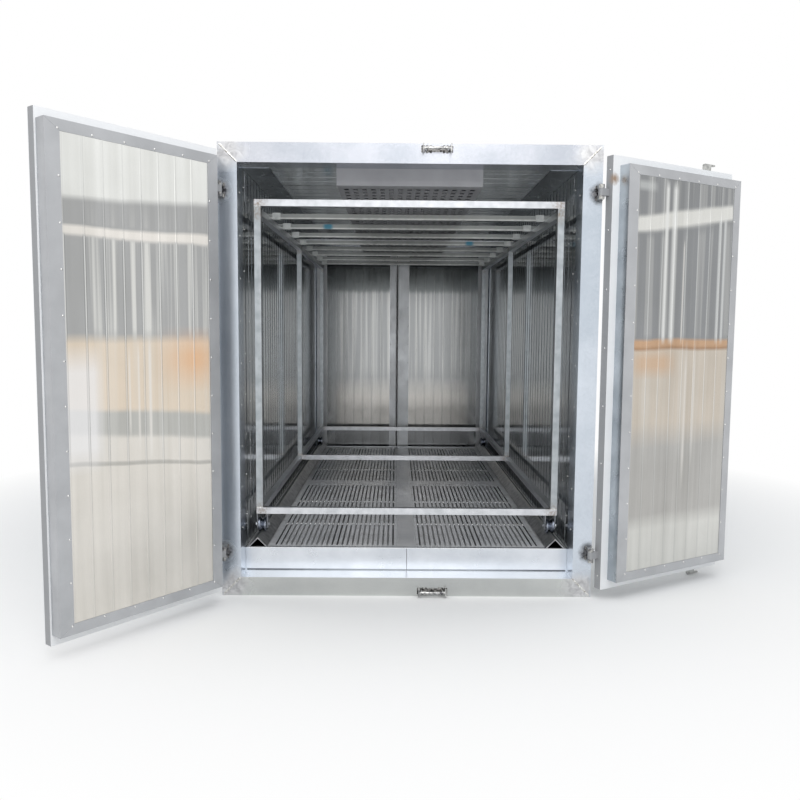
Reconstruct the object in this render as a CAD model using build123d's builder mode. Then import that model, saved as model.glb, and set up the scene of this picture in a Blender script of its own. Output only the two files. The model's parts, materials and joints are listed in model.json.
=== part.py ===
"""Powder coating oven: an insulated drive-through cabinet with a pair of plug doors at each end
and a hanging trolley on two angle rails. Millimetres, +X to the right, +Y into the oven, +Z up.
The origin is the centre of the footprint, on the ground."""
from build123d import *
from math import cos, radians, sin, sqrt
import os

os.makedirs("parts", exist_ok=True)

# Cabinet
opening_width = 1500
opening_height = 1835
wall_thickness = 85
oven_length = 3400
frame_sheet = 3
rebate_depth = 115
edge_gap = 0.5

# Sheet metal lining of the chamber
liner_sheet = 1.5
rib_height = 1.5
rib_width = 8
wall_rib_pitch = 78
ceiling_rib_pitch = 110

# Sill risers that close the ends of the air floor
floor_rise = 105
lip_depth = 20
riser_joint = 2

# Air floor
floor_sheet = 3
side_strip_width = 100
centre_strip_width = 90
bearer_flange = 40

# Ceiling duct, and the plain strips beside the walls
duct_width = 656
duct_drop = 75
duct_sheet = 3
ceiling_strip_width = 120

# Rails
rail_leg = 60
rail_thickness = 5
rail_offset = 5
rail_end_gap = 2

# Trolley
tube = 30
tube_wall = 2
trolley_side_gap = 45
trolley_end_gap = 150
trolley_bottom = 340
trolley_head_gap = 132
side_rail_drop = 40
hanging_bar_tube = 25
hanging_bar_count = 8
first_bar_behind_front = 345
last_bar_before_rear = 165
collar_wall = 4
collar_length = 40
collar_gap = 2

# Wheels
wheel_radius = 35
wheel_width = 38
groove_depth = 11
wheel_set_back = 120
rail_clearance = 0.3
axle_radius = 6
running_clearance = 0.1
fork_gap = 2
fork_plate = 5
fork_length = 50
fork_nose = 30
wheel_sides = 36
nut_size = 10
nut_height = 7

# Door leaves
slab_thickness = 40
slab_to_frame = 8
plug_depth = 55
slab_overlap = 35
plug_clearance = 6
slab_seam_gap = 8
plug_seam_gap = 20
front_seam = 0
rear_seam = -45
front_left_open_angle = 128
front_right_open_angle = 210
trim_sheet = 3
trim_joint = 0.3
trim_end_width = 40
left_hinge_trim = 50
left_seam_trim = 55
right_hinge_trim = 60
right_seam_trim = 45
rear_hinge_trim = 88
rear_left_seam_trim = 52
rear_right_seam_trim = 93

# Hinges
hinge_axis_inset = 15
hinge_axis_out = 39
hinge_from_end = 155
knuckle_width = 24
knuckle_height = 30
knuckle_chamfer = 6
lug_height = 16
pin_radius = 6
knuckle_gap = 0.5

# Lock rods, guides, claws and keepers
rod_radius = 13.5
rod_from_seam = 115
rod_to_slab = 26
claw_clearance = 5
claw_height = 43
claw_reach = 62
claw_thickness = 12
claw_mouth = 29
claw_mouth_root = 22
claw_root = 34
claw_bevel = 5
keeper_bar_reach = 48
keeper_bar_radius = 6
keeper_span = 120
keeper_cheek = 6
keeper_height = 34
keeper_nose = 10
guide_width = 50
guide_height = 30
guide_wall = 7
guide_chamfer = 9
guide_count = 3
guide_from_end = 330
stop_collar_radius = 20
stop_collar_height = 10
handle_height = 1100
handle_length = 300
handle_bar = 30
handle_thickness = 8

# Worked out from the sizes above
half_opening = opening_width / 2
half_width = half_opening + wall_thickness
half_length = oven_length / 2
opening_base = wall_thickness
opening_head = opening_base + opening_height
overall_height = opening_head + wall_thickness
panel_thickness = wall_thickness - frame_sheet
panel_half_length = half_length - frame_sheet
chamber_half_length = panel_half_length - rebate_depth
floor_top = opening_base + floor_rise
floor_half_length = chamber_half_length - lip_depth - edge_gap
rail_foot = rail_leg / sqrt(2)
rail_edge = rail_thickness / sqrt(2)
rail_top = floor_top + rail_foot + rail_edge
wheel_axis = rail_top + wheel_radius - groove_depth + rail_clearance * sqrt(2)
trolley_width = opening_width - 2 * trolley_side_gap
trolley_length = oven_length - 2 * trolley_end_gap
trolley_top = opening_head - trolley_head_gap
wheel_row = trolley_length / 2 - wheel_set_back
tube_centre = (trolley_width - tube) / 2
rail_centre = tube_centre + rail_offset
frame_rows = [-(trolley_length - tube) / 2, 0, (trolley_length - tube) / 2]
post_bottom = trolley_bottom + tube
post_top = trolley_top - tube
side_rail_top = trolley_top - side_rail_drop
hanging_bar_centre = side_rail_top + hanging_bar_tube / 2
hanging_bar_run = trolley_length - first_bar_behind_front - last_bar_before_rear
hanging_bar_pitch = hanging_bar_run / (hanging_bar_count - 1)
hanging_bar_rows = [
    first_bar_behind_front - trolley_length / 2 + number * hanging_bar_pitch
    for number in range(hanging_bar_count)
]
hinge_axis_x = half_width - hinge_axis_inset
hinge_axis_y = half_length + hinge_axis_out
slab_inner = hinge_axis_out - slab_to_frame
slab_outer = slab_inner - slab_thickness
slab_hinge_edge = hinge_axis_x - half_opening - slab_overlap
slab_bottom = opening_base - slab_overlap
slab_top = opening_head + slab_overlap
plug_face = slab_inner + plug_depth
plug_hinge_edge = hinge_axis_x - half_opening + plug_clearance
plug_bottom = opening_base + plug_clearance
plug_top = opening_head - plug_clearance
hinge_heights = [slab_bottom + hinge_from_end, slab_top - hinge_from_end]
rod_depth = slab_outer - rod_to_slab
claw_levels = [
    slab_bottom - claw_clearance - claw_height / 2,
    slab_top + claw_clearance + claw_height / 2,
]
keeper_depth = rod_depth + keeper_bar_reach
guide_levels = [
    slab_bottom + guide_from_end
    + number * (slab_top - slab_bottom - 2 * guide_from_end) / (guide_count - 1)
    for number in range(guide_count)
]
ends = {"front": -1, "rear": 1}
sides = {"left": -1, "right": 1}


def save(builder, name):
    """Label one finished piece and write it to its own file."""
    builder.part.label = name
    export_step(builder.part, f"parts/{name}.step")


def outline(points):
    """Closed straight-sided face in the open sketch."""
    Polygon(*points, align=None)


def block(x_span, y_span, z_span):
    """Square-cornered block between three pairs of limits, in the open part."""
    spans = (x_span, y_span, z_span)
    with Locations(tuple(min(span) for span in spans)):
        Box(*(max(span) - min(span) for span in spans), align=(Align.MIN, Align.MIN, Align.MIN))


def end_plane(end, inset=0):
    """Upright plane across the oven, a given depth behind the flange face; x right, y up."""
    return Plane.XZ.offset(-end * (half_length - inset))


def border_strips(outer, inner, joint=0):
    """Outlines of the four mitred strips between two upright rectangles (x0, z0, x1, z1)."""
    ox0, oz0, ox1, oz1 = outer
    ix0, iz0, ix1, iz1 = inner
    return {
        "sill": [(ox0 + joint, oz0), (ox1 - joint, oz0), (ix1 - joint, iz0), (ix0 + joint, iz0)],
        "head": [(ox0 + joint, oz1), (ox1 - joint, oz1), (ix1 - joint, iz1), (ix0 + joint, iz1)],
        "left": [(ox0, oz0 + joint), (ix0, iz0 + joint), (ix0, iz1 - joint), (ox0, oz1 - joint)],
        "right": [(ox1, oz0 + joint), (ix1, iz0 + joint), (ix1, iz1 - joint), (ox1, oz1 - joint)],
    }


def ribbed_section(start, stop, sheet, pitch):
    """Section of a ribbed sheet lying along x: its back on y = 0, its ribs towards +y."""
    count = int((stop - start - rib_width) // pitch)
    first = (start + stop - (count - 1) * pitch) / 2
    points = [(start, 0), (start, sheet)]
    for number in range(count):
        middle = first + number * pitch
        points += [
            (middle - rib_width / 2, sheet),
            (middle - rib_width / 2 + rib_height, sheet + rib_height),
            (middle + rib_width / 2 - rib_height, sheet + rib_height),
            (middle + rib_width / 2, sheet),
        ]
    return points + [(stop, sheet), (stop, 0)]


def nosed(start, stop, width, cut):
    """Corners of a level bar along x from start to stop, its far end bevelled."""
    half = width / 2
    back = stop - (cut if stop > start else -cut)
    return [(start, -half), (back, -half), (stop, cut - half), (stop, half - cut), (back, half), (start, half)]


# Insulated panels of the cabinet
with BuildPart() as floor_panel:
    block(
        (-half_width, half_width),
        (-panel_half_length, panel_half_length),
        (0, panel_thickness),
    )
save(floor_panel, "floor_panel")

with BuildPart() as wall_panels:
    for side in sides.values():
        block(
            (side * (half_opening + frame_sheet), side * half_width),
            (-panel_half_length, panel_half_length),
            (panel_thickness, opening_head + frame_sheet),
        )
save(wall_panels, "wall_panels")

with BuildPart() as roof_panel:
    block(
        (-half_width, half_width),
        (-panel_half_length, panel_half_length),
        (opening_head + frame_sheet, overall_height),
    )
save(roof_panel, "roof_panel")

# Ribbed lining sheets
with BuildPart() as wall_liners:
    for side in sides.values():
        back = Plane(
            origin=(side * (half_opening + frame_sheet), 0, panel_thickness),
            x_dir=(0, side, 0),
            z_dir=(0, 0, 1),
        )
        with BuildSketch(back):
            outline(ribbed_section(
                -chamber_half_length, chamber_half_length, liner_sheet, wall_rib_pitch,
            ))
        extrude(amount=opening_head + frame_sheet - panel_thickness)
save(wall_liners, "wall_liners")

with BuildPart() as ceiling_liner:
    back = Plane(
        origin=(-half_opening + edge_gap, 0, opening_head + frame_sheet),
        x_dir=(0, -1, 0),
        z_dir=(1, 0, 0),
    )
    with BuildSketch(back):
        outline(ribbed_section(
            -chamber_half_length, chamber_half_length, liner_sheet, ceiling_rib_pitch,
        ))
    extrude(amount=opening_width - 2 * edge_gap)
save(ceiling_liner, "ceiling_liner")

with BuildPart() as ceiling_edge_strips:
    for side in sides.values():
        block(
            (side * (half_opening - ceiling_strip_width), side * (half_opening - edge_gap)),
            (edge_gap - chamber_half_length, chamber_half_length - edge_gap),
            (opening_head - liner_sheet, opening_head),
        )
save(ceiling_edge_strips, "ceiling_edge_strips")

# Air duct under the ceiling: a folded channel, open side up, and the plates that close its ends
duct_bottom = opening_head - duct_drop
with BuildPart() as ceiling_duct:
    with BuildSketch(Plane.XZ.offset(-chamber_half_length)):
        with Locations((0, duct_bottom)):
            Rectangle(duct_width, duct_drop, align=(Align.CENTER, Align.MIN))
        with Locations((0, duct_bottom + duct_sheet)):
            bore = duct_width - 2 * duct_sheet
            Rectangle(bore, duct_drop - duct_sheet, align=(Align.CENTER, Align.MIN), mode=Mode.SUBTRACT)
    extrude(amount=2 * chamber_half_length)
save(ceiling_duct, "ceiling_duct")

with BuildPart() as duct_end_plates:
    for end in ends.values():
        block(
            (-duct_width / 2, duct_width / 2),
            (end * chamber_half_length, end * (chamber_half_length + duct_sheet)),
            (duct_bottom, opening_head),
        )
save(duct_end_plates, "duct_end_plates")

# End frames: four mitred angle members round each opening
opening_box = (-half_opening, opening_base, half_opening, opening_head)
flange_box = (-half_width, 0, half_width, overall_height)
leg_box = (
    -half_opening - frame_sheet,
    opening_base - frame_sheet,
    half_opening + frame_sheet,
    opening_head + frame_sheet,
)
flanges = border_strips(flange_box, opening_box)
legs = border_strips(leg_box, opening_box)
for piece, members in {"heads": ["head"], "sills": ["sill"], "jambs": ["left", "right"]}.items():
    with BuildPart() as frame_members:
        for end in ends.values():
            with BuildSketch(end_plane(end)):
                for member in members:
                    outline(flanges[member])
            extrude(amount=end * frame_sheet)
            with BuildSketch(end_plane(end, frame_sheet)):
                for member in members:
                    outline(legs[member])
            extrude(amount=end * rebate_depth)
    save(frame_members, f"frame_{piece}")

# Sill risers, each in two folded plates
step_half_width = half_opening - edge_gap
with BuildPart() as sill_risers:
    for end in ends.values():
        for side in sides.values():
            span = (side * riser_joint / 2, side * step_half_width)
            near = end * (chamber_half_length + frame_sheet)
            far = end * chamber_half_length
            lip = end * (chamber_half_length - lip_depth)
            block(span, (near, far), (opening_base, floor_top))
            block(span, (near, lip), (floor_top - floor_sheet, floor_top))
save(sill_risers, "sill_risers")

# Air floor on its bearers
with BuildPart() as floor_plates:
    for side in sides.values():
        block(
            (
                side * (centre_strip_width / 2 + edge_gap),
                side * (half_opening - side_strip_width - edge_gap),
            ),
            (-floor_half_length, floor_half_length),
            (floor_top - floor_sheet, floor_top),
        )
save(floor_plates, "floor_plates")

with BuildPart() as floor_strips:
    block(
        (-centre_strip_width / 2, centre_strip_width / 2),
        (-floor_half_length, floor_half_length),
        (floor_top - floor_sheet, floor_top),
    )
    for side in sides.values():
        block(
            (side * (half_opening - side_strip_width), side * step_half_width),
            (-floor_half_length, floor_half_length),
            (floor_top - floor_sheet, floor_top),
        )
save(floor_strips, "floor_strips")

plate_edges = [centre_strip_width / 2, half_opening - side_strip_width]
bearer_centres = [plate_edges[0], sum(plate_edges) / 2, plate_edges[1]]
wall_bearer = half_opening - bearer_flange / 2 - edge_gap
with BuildPart() as floor_bearers:
    for centre in bearer_centres + [wall_bearer]:
        for side in sides.values():
            top = floor_top - floor_sheet
            with BuildSketch(Plane.XZ.offset(-floor_half_length)):
                with Locations((side * centre, top)):
                    Rectangle(bearer_flange, frame_sheet, align=(Align.CENTER, Align.MAX))
                    Rectangle(frame_sheet, top - panel_thickness, align=(Align.CENTER, Align.MAX))
            extrude(amount=2 * floor_half_length)
save(floor_bearers, "floor_bearers")

# Rails: equal angles standing on their toes, corner up
with BuildPart() as rails:
    rail_half_length = chamber_half_length - rail_end_gap
    for side in sides.values():
        with BuildSketch(Plane.XZ.offset(-rail_half_length)):
            with Locations((side * rail_centre, floor_top)):
                outline([
                    (0, rail_foot + rail_edge),
                    (rail_foot, rail_edge),
                    (rail_foot - rail_edge, 0),
                    (0, rail_foot - rail_edge),
                    (rail_edge - rail_foot, 0),
                    (-rail_foot, rail_edge),
                ])
        extrude(amount=2 * rail_half_length)
save(rails, "rails")

# Trolley frame of square tube
with BuildPart() as trolley_posts:
    with BuildSketch(Plane.XY.offset(post_bottom)):
        with Locations(*((side * tube_centre, row) for side in sides.values() for row in frame_rows)):
            Rectangle(tube, tube)
            Rectangle(tube - 2 * tube_wall, tube - 2 * tube_wall, mode=Mode.SUBTRACT)
    extrude(amount=post_top - post_bottom)
save(trolley_posts, "trolley_posts")

with BuildPart() as trolley_cross_bars:
    with BuildSketch(Plane.YZ.offset(-trolley_width / 2)):
        levels = [trolley_bottom + tube / 2, trolley_top - tube / 2]
        with Locations(*((row, level) for row in frame_rows for level in levels)):
            Rectangle(tube, tube)
            Rectangle(tube - 2 * tube_wall, tube - 2 * tube_wall, mode=Mode.SUBTRACT)
    extrude(amount=trolley_width)
save(trolley_cross_bars, "trolley_cross_bars")

with BuildPart() as trolley_side_rails:
    levels = [trolley_bottom + tube / 2, side_rail_top - tube / 2]
    for start_row, stop_row in zip(frame_rows, frame_rows[1:]):
        with BuildSketch(Plane.XZ.offset(-start_row - tube / 2)):
            with Locations(*((side * tube_centre, level) for side in sides.values() for level in levels)):
                Rectangle(tube, tube)
                Rectangle(tube - 2 * tube_wall, tube - 2 * tube_wall, mode=Mode.SUBTRACT)
        extrude(amount=-(stop_row - start_row - tube))
save(trolley_side_rails, "trolley_side_rails")

# Loose hanging bars laid across the top side rails, and the collars that stop them sliding off
with BuildPart() as hanging_bars:
    with BuildSketch(Plane.YZ.offset(-trolley_width / 2)):
        with Locations(*((row, hanging_bar_centre) for row in hanging_bar_rows)):
            Rectangle(hanging_bar_tube, hanging_bar_tube)
            bore = hanging_bar_tube - 2 * tube_wall
            Rectangle(bore, bore, mode=Mode.SUBTRACT)
    extrude(amount=trolley_width)
save(hanging_bars, "hanging_bars")

with BuildPart() as bar_collars:
    for side in sides.values():
        with BuildSketch(Plane.YZ.offset(side * (tube_centre - tube / 2 - collar_gap))):
            with Locations(*((row, hanging_bar_centre) for row in hanging_bar_rows)):
                outer = hanging_bar_tube + 2 * collar_wall
                Rectangle(outer, outer)
                Rectangle(hanging_bar_tube, hanging_bar_tube, mode=Mode.SUBTRACT)
        extrude(amount=-side * collar_length)
save(bar_collars, "bar_collars")

# Wheel forks with their axle bolts, and the grooved wheels
fork_inner = wheel_width / 2 + fork_gap
fork_outer = fork_inner + fork_plate
wheel_places = {
    f"{end_name}_{side_name}_wheel": (side * rail_centre, end * wheel_row)
    for end_name, end in ends.items()
    for side_name, side in sides.items()
}
with BuildPart() as wheel_forks:
    for x, y in wheel_places.values():
        for side in sides.values():
            with BuildSketch(Plane(origin=(x + side * fork_inner, y, 0), x_dir=(0, 1, 0), z_dir=(1, 0, 0))):
                outline([
                    (-fork_length / 2, trolley_bottom),
                    (-fork_length / 2, trolley_bottom - fork_plate),
                    (-fork_nose / 2, wheel_axis - fork_nose / 2),
                    (fork_nose / 2, wheel_axis - fork_nose / 2),
                    (fork_length / 2, trolley_bottom - fork_plate),
                    (fork_length / 2, trolley_bottom),
                ])
            extrude(amount=side * fork_plate)
        block(
            (x - fork_outer, x + fork_outer),
            (y - fork_length / 2, y + fork_length / 2),
            (trolley_bottom - fork_plate, trolley_bottom),
        )
        with BuildSketch(Plane(origin=(x - fork_outer, y, wheel_axis), x_dir=(0, 1, 0), z_dir=(1, 0, 0))):
            Circle(axle_radius)
        extrude(amount=2 * fork_outer)
        for side in sides.values():
            with BuildSketch(Plane(origin=(x + side * fork_outer, y, wheel_axis), x_dir=(0, 1, 0), z_dir=(1, 0, 0))):
                RegularPolygon(radius=nut_size, side_count=6)
            extrude(amount=side * nut_height)
save(wheel_forks, "wheel_forks")

# One wheel turned in fine flats, with a groove that sits over the rail's corner, used four times
wheel_flat = wheel_radius * cos(radians(180 / wheel_sides))
with BuildPart() as wheel_blank:
    with BuildSketch(Plane.YZ.offset(-wheel_width / 2)):
        RegularPolygon(radius=wheel_radius, side_count=wheel_sides)
        Circle(axle_radius + running_clearance, mode=Mode.SUBTRACT)
    extrude(amount=wheel_width)
    for number in range(wheel_sides):
        turn = radians(360 / wheel_sides * (number + 0.5))
        outward = (0, cos(turn), sin(turn))
        with BuildSketch(Plane(origin=(0, 0, 0), x_dir=outward, z_dir=(0, -sin(turn), cos(turn)))):
            past = 2 * groove_depth
            bottom = wheel_flat - groove_depth
            outline([(bottom, 0), (bottom + past, past), (bottom + past, -past)])
        extrude(amount=4 * wheel_radius / wheel_sides, both=True, mode=Mode.SUBTRACT)

for name, (x, y) in wheel_places.items():
    with BuildPart() as wheel:
        with Locations((x, y, wheel_axis)):
            add(wheel_blank.part)
    save(wheel, name)


class Leaf:
    """One door leaf: u runs from its hinge axis to the seam, v from the axis into the oven when shut."""

    def __init__(self, side, end, seam=0, open_angle=0, hinge_trim=0, seam_trim=0):
        turn = radians(-side * end * open_angle)
        self.hand = side * end
        self.axis = Vector(side * hinge_axis_x, end * hinge_axis_y, 0)
        self.along = Vector(-side * cos(turn), -side * sin(turn), 0)
        self.inward = Vector(end * sin(turn), -end * cos(turn), 0)
        self.seam_edge = hinge_axis_x - side * seam
        self.hinge_trim = hinge_trim
        self.seam_trim = seam_trim

    def plan(self, height):
        """Level plane; x is u and y is v times the hand."""
        return Plane(origin=self.axis + Vector(0, 0, height), x_dir=self.along, z_dir=(0, 0, 1))

    def face(self, depth):
        """Upright plane along the leaf at depth v; x is u, y is height, the normal is -v times the hand."""
        origin = self.axis + self.inward * depth
        return Plane(origin=origin, x_dir=self.along, z_dir=self.along.cross(Vector(0, 0, 1)))

    def across(self, distance):
        """Upright plane square to the leaf at distance u; x is v, y is height."""
        origin = self.axis + self.along * distance
        return Plane(origin=origin, x_dir=self.inward, z_dir=self.inward.cross(Vector(0, 0, 1)))

    def rectangle(self, u_span, v_span):
        """Corners of a level rectangle in the plan plane."""
        return [(u, self.hand * v) for u, v in zip(u_span + u_span[::-1], [v_span[0]] * 2 + [v_span[1]] * 2)]


leaves = {
    "front_left": Leaf(-1, -1, front_seam, front_left_open_angle, left_hinge_trim, left_seam_trim),
    "front_right": Leaf(1, -1, front_seam, front_right_open_angle, right_hinge_trim, right_seam_trim),
    "rear_left": Leaf(-1, 1, rear_seam, 0, rear_hinge_trim, rear_left_seam_trim),
    "rear_right": Leaf(1, 1, rear_seam, 0, rear_hinge_trim, rear_right_seam_trim),
}

for name, leaf in leaves.items():
    slab_seam_edge = leaf.seam_edge - slab_seam_gap / 2
    plug_seam_edge = leaf.seam_edge - plug_seam_gap / 2

    # Outer slab with the two hinge knuckles welded to its edge
    with BuildPart() as slab:
        with BuildSketch(leaf.plan(slab_bottom)):
            outline(leaf.rectangle([slab_hinge_edge, slab_seam_edge], [slab_outer, slab_inner]))
        extrude(amount=slab_top - slab_bottom)
        for height in hinge_heights:
            with BuildSketch(leaf.plan(height - knuckle_height / 2)):
                outline(nosed(slab_hinge_edge, -knuckle_width / 2, knuckle_width, knuckle_chamfer))
                Circle(pin_radius + running_clearance, mode=Mode.SUBTRACT)
            extrude(amount=knuckle_height)
    save(slab, f"{name}_door_slab")

    # Stepped plug that fills the opening
    plug_back = plug_face - trim_sheet
    with BuildPart() as plug:
        with BuildSketch(leaf.plan(plug_bottom)):
            outline(leaf.rectangle([plug_hinge_edge, plug_seam_edge], [slab_inner, plug_back]))
        extrude(amount=plug_top - plug_bottom)
    save(plug, f"{name}_door_plug")

    # Mitred trim strips round the inner face, and the ribbed sheet inside them
    trim_box = (plug_hinge_edge, plug_bottom, plug_seam_edge, plug_top)
    sheet_box = (
        plug_hinge_edge + leaf.hinge_trim,
        plug_bottom + trim_end_width,
        plug_seam_edge - leaf.seam_trim,
        plug_top - trim_end_width,
    )
    with BuildPart() as trim:
        with BuildSketch(leaf.face(plug_back)):
            for strip in border_strips(trim_box, sheet_box, trim_joint).values():
                outline(strip)
        extrude(amount=-leaf.hand * trim_sheet)
    save(trim, f"{name}_door_trim")

    with BuildPart() as lining:
        with BuildSketch(leaf.plan(sheet_box[1] + edge_gap)):
            section = ribbed_section(
                sheet_box[0] + edge_gap, sheet_box[2] - edge_gap, liner_sheet, wall_rib_pitch,
            )
            outline([(u, leaf.hand * (plug_back + rise)) for u, rise in section])
        extrude(amount=sheet_box[3] - sheet_box[1] - 2 * edge_gap)
    save(lining, f"{name}_door_lining")

# Hinge lugs with their pins, welded to the outer edge of the end frames
with BuildPart() as hinge_lugs:
    for end in ends.values():
        for side in sides.values():
            shut = Leaf(side, end)
            for height in hinge_heights:
                lug_start = knuckle_height / 2 + knuckle_gap
                for level in (height - lug_start - lug_height, height + lug_start):
                    with BuildSketch(shut.plan(level)):
                        bar = nosed(hinge_axis_out, -knuckle_width / 2, knuckle_width, knuckle_chamfer)
                        outline([(u, shut.hand * v) for v, u in bar])
                    extrude(amount=lug_height)
                with BuildSketch(shut.plan(height - lug_start)):
                    Circle(pin_radius)
                extrude(amount=2 * lug_start)
save(hinge_lugs, "hinge_lugs")

# Keepers on the head and the sill that the lock rod claws close on
with BuildPart() as lock_keepers:
    for end_name, end in ends.items():
        shut = Leaf(1, end, front_seam if end_name == "front" else rear_seam)
        rod_place = shut.seam_edge - rod_from_seam
        for level in claw_levels:
            for cheek in (-1, 1):
                start = rod_place + cheek * keeper_span / 2
                with BuildSketch(shut.across(start)):
                    with Locations((keeper_depth - keeper_nose, level)):
                        depth = hinge_axis_out - keeper_depth + keeper_nose
                        Rectangle(depth, keeper_height, align=(Align.MIN, Align.CENTER))
                extrude(amount=keeper_cheek / 2, both=True)
            with BuildSketch(shut.across(rod_place)):
                with Locations((keeper_depth, level)):
                    Circle(keeper_bar_radius)
            extrude(amount=keeper_span / 2, both=True)
save(lock_keepers, "lock_keepers")

# Lock rods on the right leaves, unlocked: claws towards the seam, handle straight out
for name in ("front_right", "rear_right"):
    leaf = leaves[name]
    end_name = name.split("_")[0]
    rod_place = leaf.seam_edge - rod_from_seam
    rod_bottom = claw_levels[0] + claw_height / 2
    rod_length = claw_levels[1] - claw_height / 2 - rod_bottom
    with BuildPart() as lock_rod:
        with BuildSketch(leaf.plan(rod_bottom)):
            with Locations((rod_place, leaf.hand * rod_depth)):
                Circle(rod_radius)
        extrude(amount=rod_length)
        with BuildSketch(leaf.plan(guide_levels[0] + guide_height / 2 + rail_clearance)):
            with Locations((rod_place, leaf.hand * rod_depth)):
                Circle(stop_collar_radius)
        extrude(amount=stop_collar_height)
        with BuildSketch(leaf.across(rod_place)):
            with Locations((rod_depth, handle_height)):
                Rectangle(handle_length, handle_bar, align=(Align.MAX, Align.CENTER))
        extrude(amount=handle_thickness / 2, both=True)
    save(lock_rod, f"{end_name}_lock_rod")

    # Hooked claws capping the rod, each with a bevelled root and two jaws that spread
    with BuildPart() as rod_claws:
        with BuildSketch(leaf.face(rod_depth)):
            for level in claw_levels:
                half = claw_height / 2
                outline([
                    (rod_place - rod_radius, level - half + claw_bevel),
                    (rod_place - rod_radius + claw_bevel, level - half),
                    (rod_place + claw_reach, level - half),
                    (rod_place + claw_reach, level - claw_mouth / 2),
                    (rod_place + claw_root, level - claw_mouth_root / 2),
                    (rod_place + claw_root, level + claw_mouth_root / 2),
                    (rod_place + claw_reach, level + claw_mouth / 2),
                    (rod_place + claw_reach, level + half),
                    (rod_place - rod_radius + claw_bevel, level + half),
                    (rod_place - rod_radius, level + half - claw_bevel),
                ])
        extrude(amount=claw_thickness / 2, both=True)
    save(rod_claws, f"{end_name}_rod_claws")

    with BuildPart() as rod_guides:
        for level in guide_levels:
            with BuildSketch(leaf.plan(level - guide_height / 2)):
                bar = nosed(slab_outer, rod_depth - rod_radius - guide_wall, guide_width, guide_chamfer)
                outline([(rod_place + u, leaf.hand * v) for v, u in bar])
                with Locations((rod_place, leaf.hand * rod_depth)):
                    Circle(rod_radius + running_clearance, mode=Mode.SUBTRACT)
            extrude(amount=guide_height)
    save(rod_guides, f"{end_name}_rod_guides")
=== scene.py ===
"""Looks of a drive-through powder coating oven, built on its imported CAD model. Metres, Z up."""
import json
import math

import bpy
import numpy as np
from mathutils import Matrix, Vector


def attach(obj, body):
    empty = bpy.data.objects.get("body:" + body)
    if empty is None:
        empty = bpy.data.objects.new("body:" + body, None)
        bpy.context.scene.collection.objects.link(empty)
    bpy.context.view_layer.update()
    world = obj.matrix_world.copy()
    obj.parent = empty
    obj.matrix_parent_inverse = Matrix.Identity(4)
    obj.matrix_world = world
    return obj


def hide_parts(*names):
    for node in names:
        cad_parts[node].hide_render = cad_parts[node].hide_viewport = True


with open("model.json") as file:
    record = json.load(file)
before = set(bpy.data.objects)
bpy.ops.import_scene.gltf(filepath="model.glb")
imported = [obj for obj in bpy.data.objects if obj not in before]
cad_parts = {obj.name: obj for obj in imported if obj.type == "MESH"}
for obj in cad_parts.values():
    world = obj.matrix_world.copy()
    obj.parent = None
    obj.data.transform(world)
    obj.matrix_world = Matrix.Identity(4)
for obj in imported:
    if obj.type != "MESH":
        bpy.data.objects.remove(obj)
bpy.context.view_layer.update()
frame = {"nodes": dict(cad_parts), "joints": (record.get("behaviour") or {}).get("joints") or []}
nodes = frame["nodes"]

# The camera stands a little left of the middle of the doorway at chest height, tipped down.
camera_place = Vector((-0.0606, -5.1111, 1.198))
camera_yaw, camera_pitch, camera_roll = (math.radians(angle) for angle in (0.3918, -5.099, 0.452))
focal_pixels = 771.6
picture_pixels = 800
forward = Vector((
    math.sin(camera_yaw) * math.cos(camera_pitch),
    math.cos(camera_yaw) * math.cos(camera_pitch),
    math.sin(camera_pitch),
))
level_right = Vector((math.cos(camera_yaw), -math.sin(camera_yaw), 0))
level_up = level_right.cross(forward)
right = level_right * math.cos(camera_roll) + level_up * math.sin(camera_roll)
up = level_up * math.cos(camera_roll) - level_right * math.sin(camera_roll)
lens = bpy.data.cameras.new("portrait_camera")
lens.sensor_width = 36
lens.lens = lens.sensor_width * focal_pixels / picture_pixels
camera = bpy.data.objects.new("portrait_camera", lens)
camera.matrix_world = Matrix.Translation(camera_place) @ Matrix((right, up, -forward)).transposed().to_4x4()
bpy.context.collection.objects.link(camera)
bpy.context.scene.camera = camera
bpy.context.scene.view_settings.view_transform = "Standard"


def linear(code):
    """sRGB hex colour as linear red, green, blue and alpha: a straight line low down and a power above."""
    channels = [int(code[i:i + 2], 16) / 255 for i in (1, 3, 5)]
    return [c / 12.92 if c <= 0.04045 else ((c + 0.055) / 1.055) ** 2.4 for c in channels] + [1]


def add_node(tree, kind, sockets=None, stops=None, **settings):
    """Add a node with its settings. Each socket takes a number, a hex colour, or a link from a node or an
    output, and stops are the places and hex colours of a ramp."""
    node = tree.nodes.new("ShaderNode" + kind)
    for name, value in settings.items():
        setattr(node, name, value)
    for number, (place, code) in enumerate(stops or []):
        ramp = node.color_ramp.elements
        stop = ramp[number] if number < 2 else ramp.new(place)
        stop.position = place
        stop.color = linear(code)
    for name, value in (sockets or {}).items():
        open_inputs = [socket for socket in node.inputs if socket.enabled]
        socket = open_inputs[name] if isinstance(name, int) else [s for s in open_inputs if s.name == name][0]
        if isinstance(value, bpy.types.Node):
            value = [output for output in value.outputs if output.enabled][0]
        if isinstance(value, bpy.types.NodeSocket):
            tree.links.new(value, socket)
        else:
            socket.default_value = linear(value) if isinstance(value, str) else value
    return node


# Studio: a pale floor that keeps the shadow and fades to white, under a plain pale sky and three soft lamps.
# What the camera, the bright metal and any clear part see of the surroundings is plain white.
floor_half = 30
fade_start, fade_end = 1.9, 3.4


def seen_share(tree):
    """One for rays from the camera, off bright metal and through clear parts, and nought for all others."""
    rays = add_node(tree, "LightPath").outputs
    seen = add_node(tree, "Math", {0: rays["Is Camera Ray"], 1: rays["Is Glossy Ray"]}, operation="MAXIMUM")
    return add_node(tree, "Math", {0: seen, 1: rays["Is Transmission Ray"]}, operation="MAXIMUM")


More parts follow.
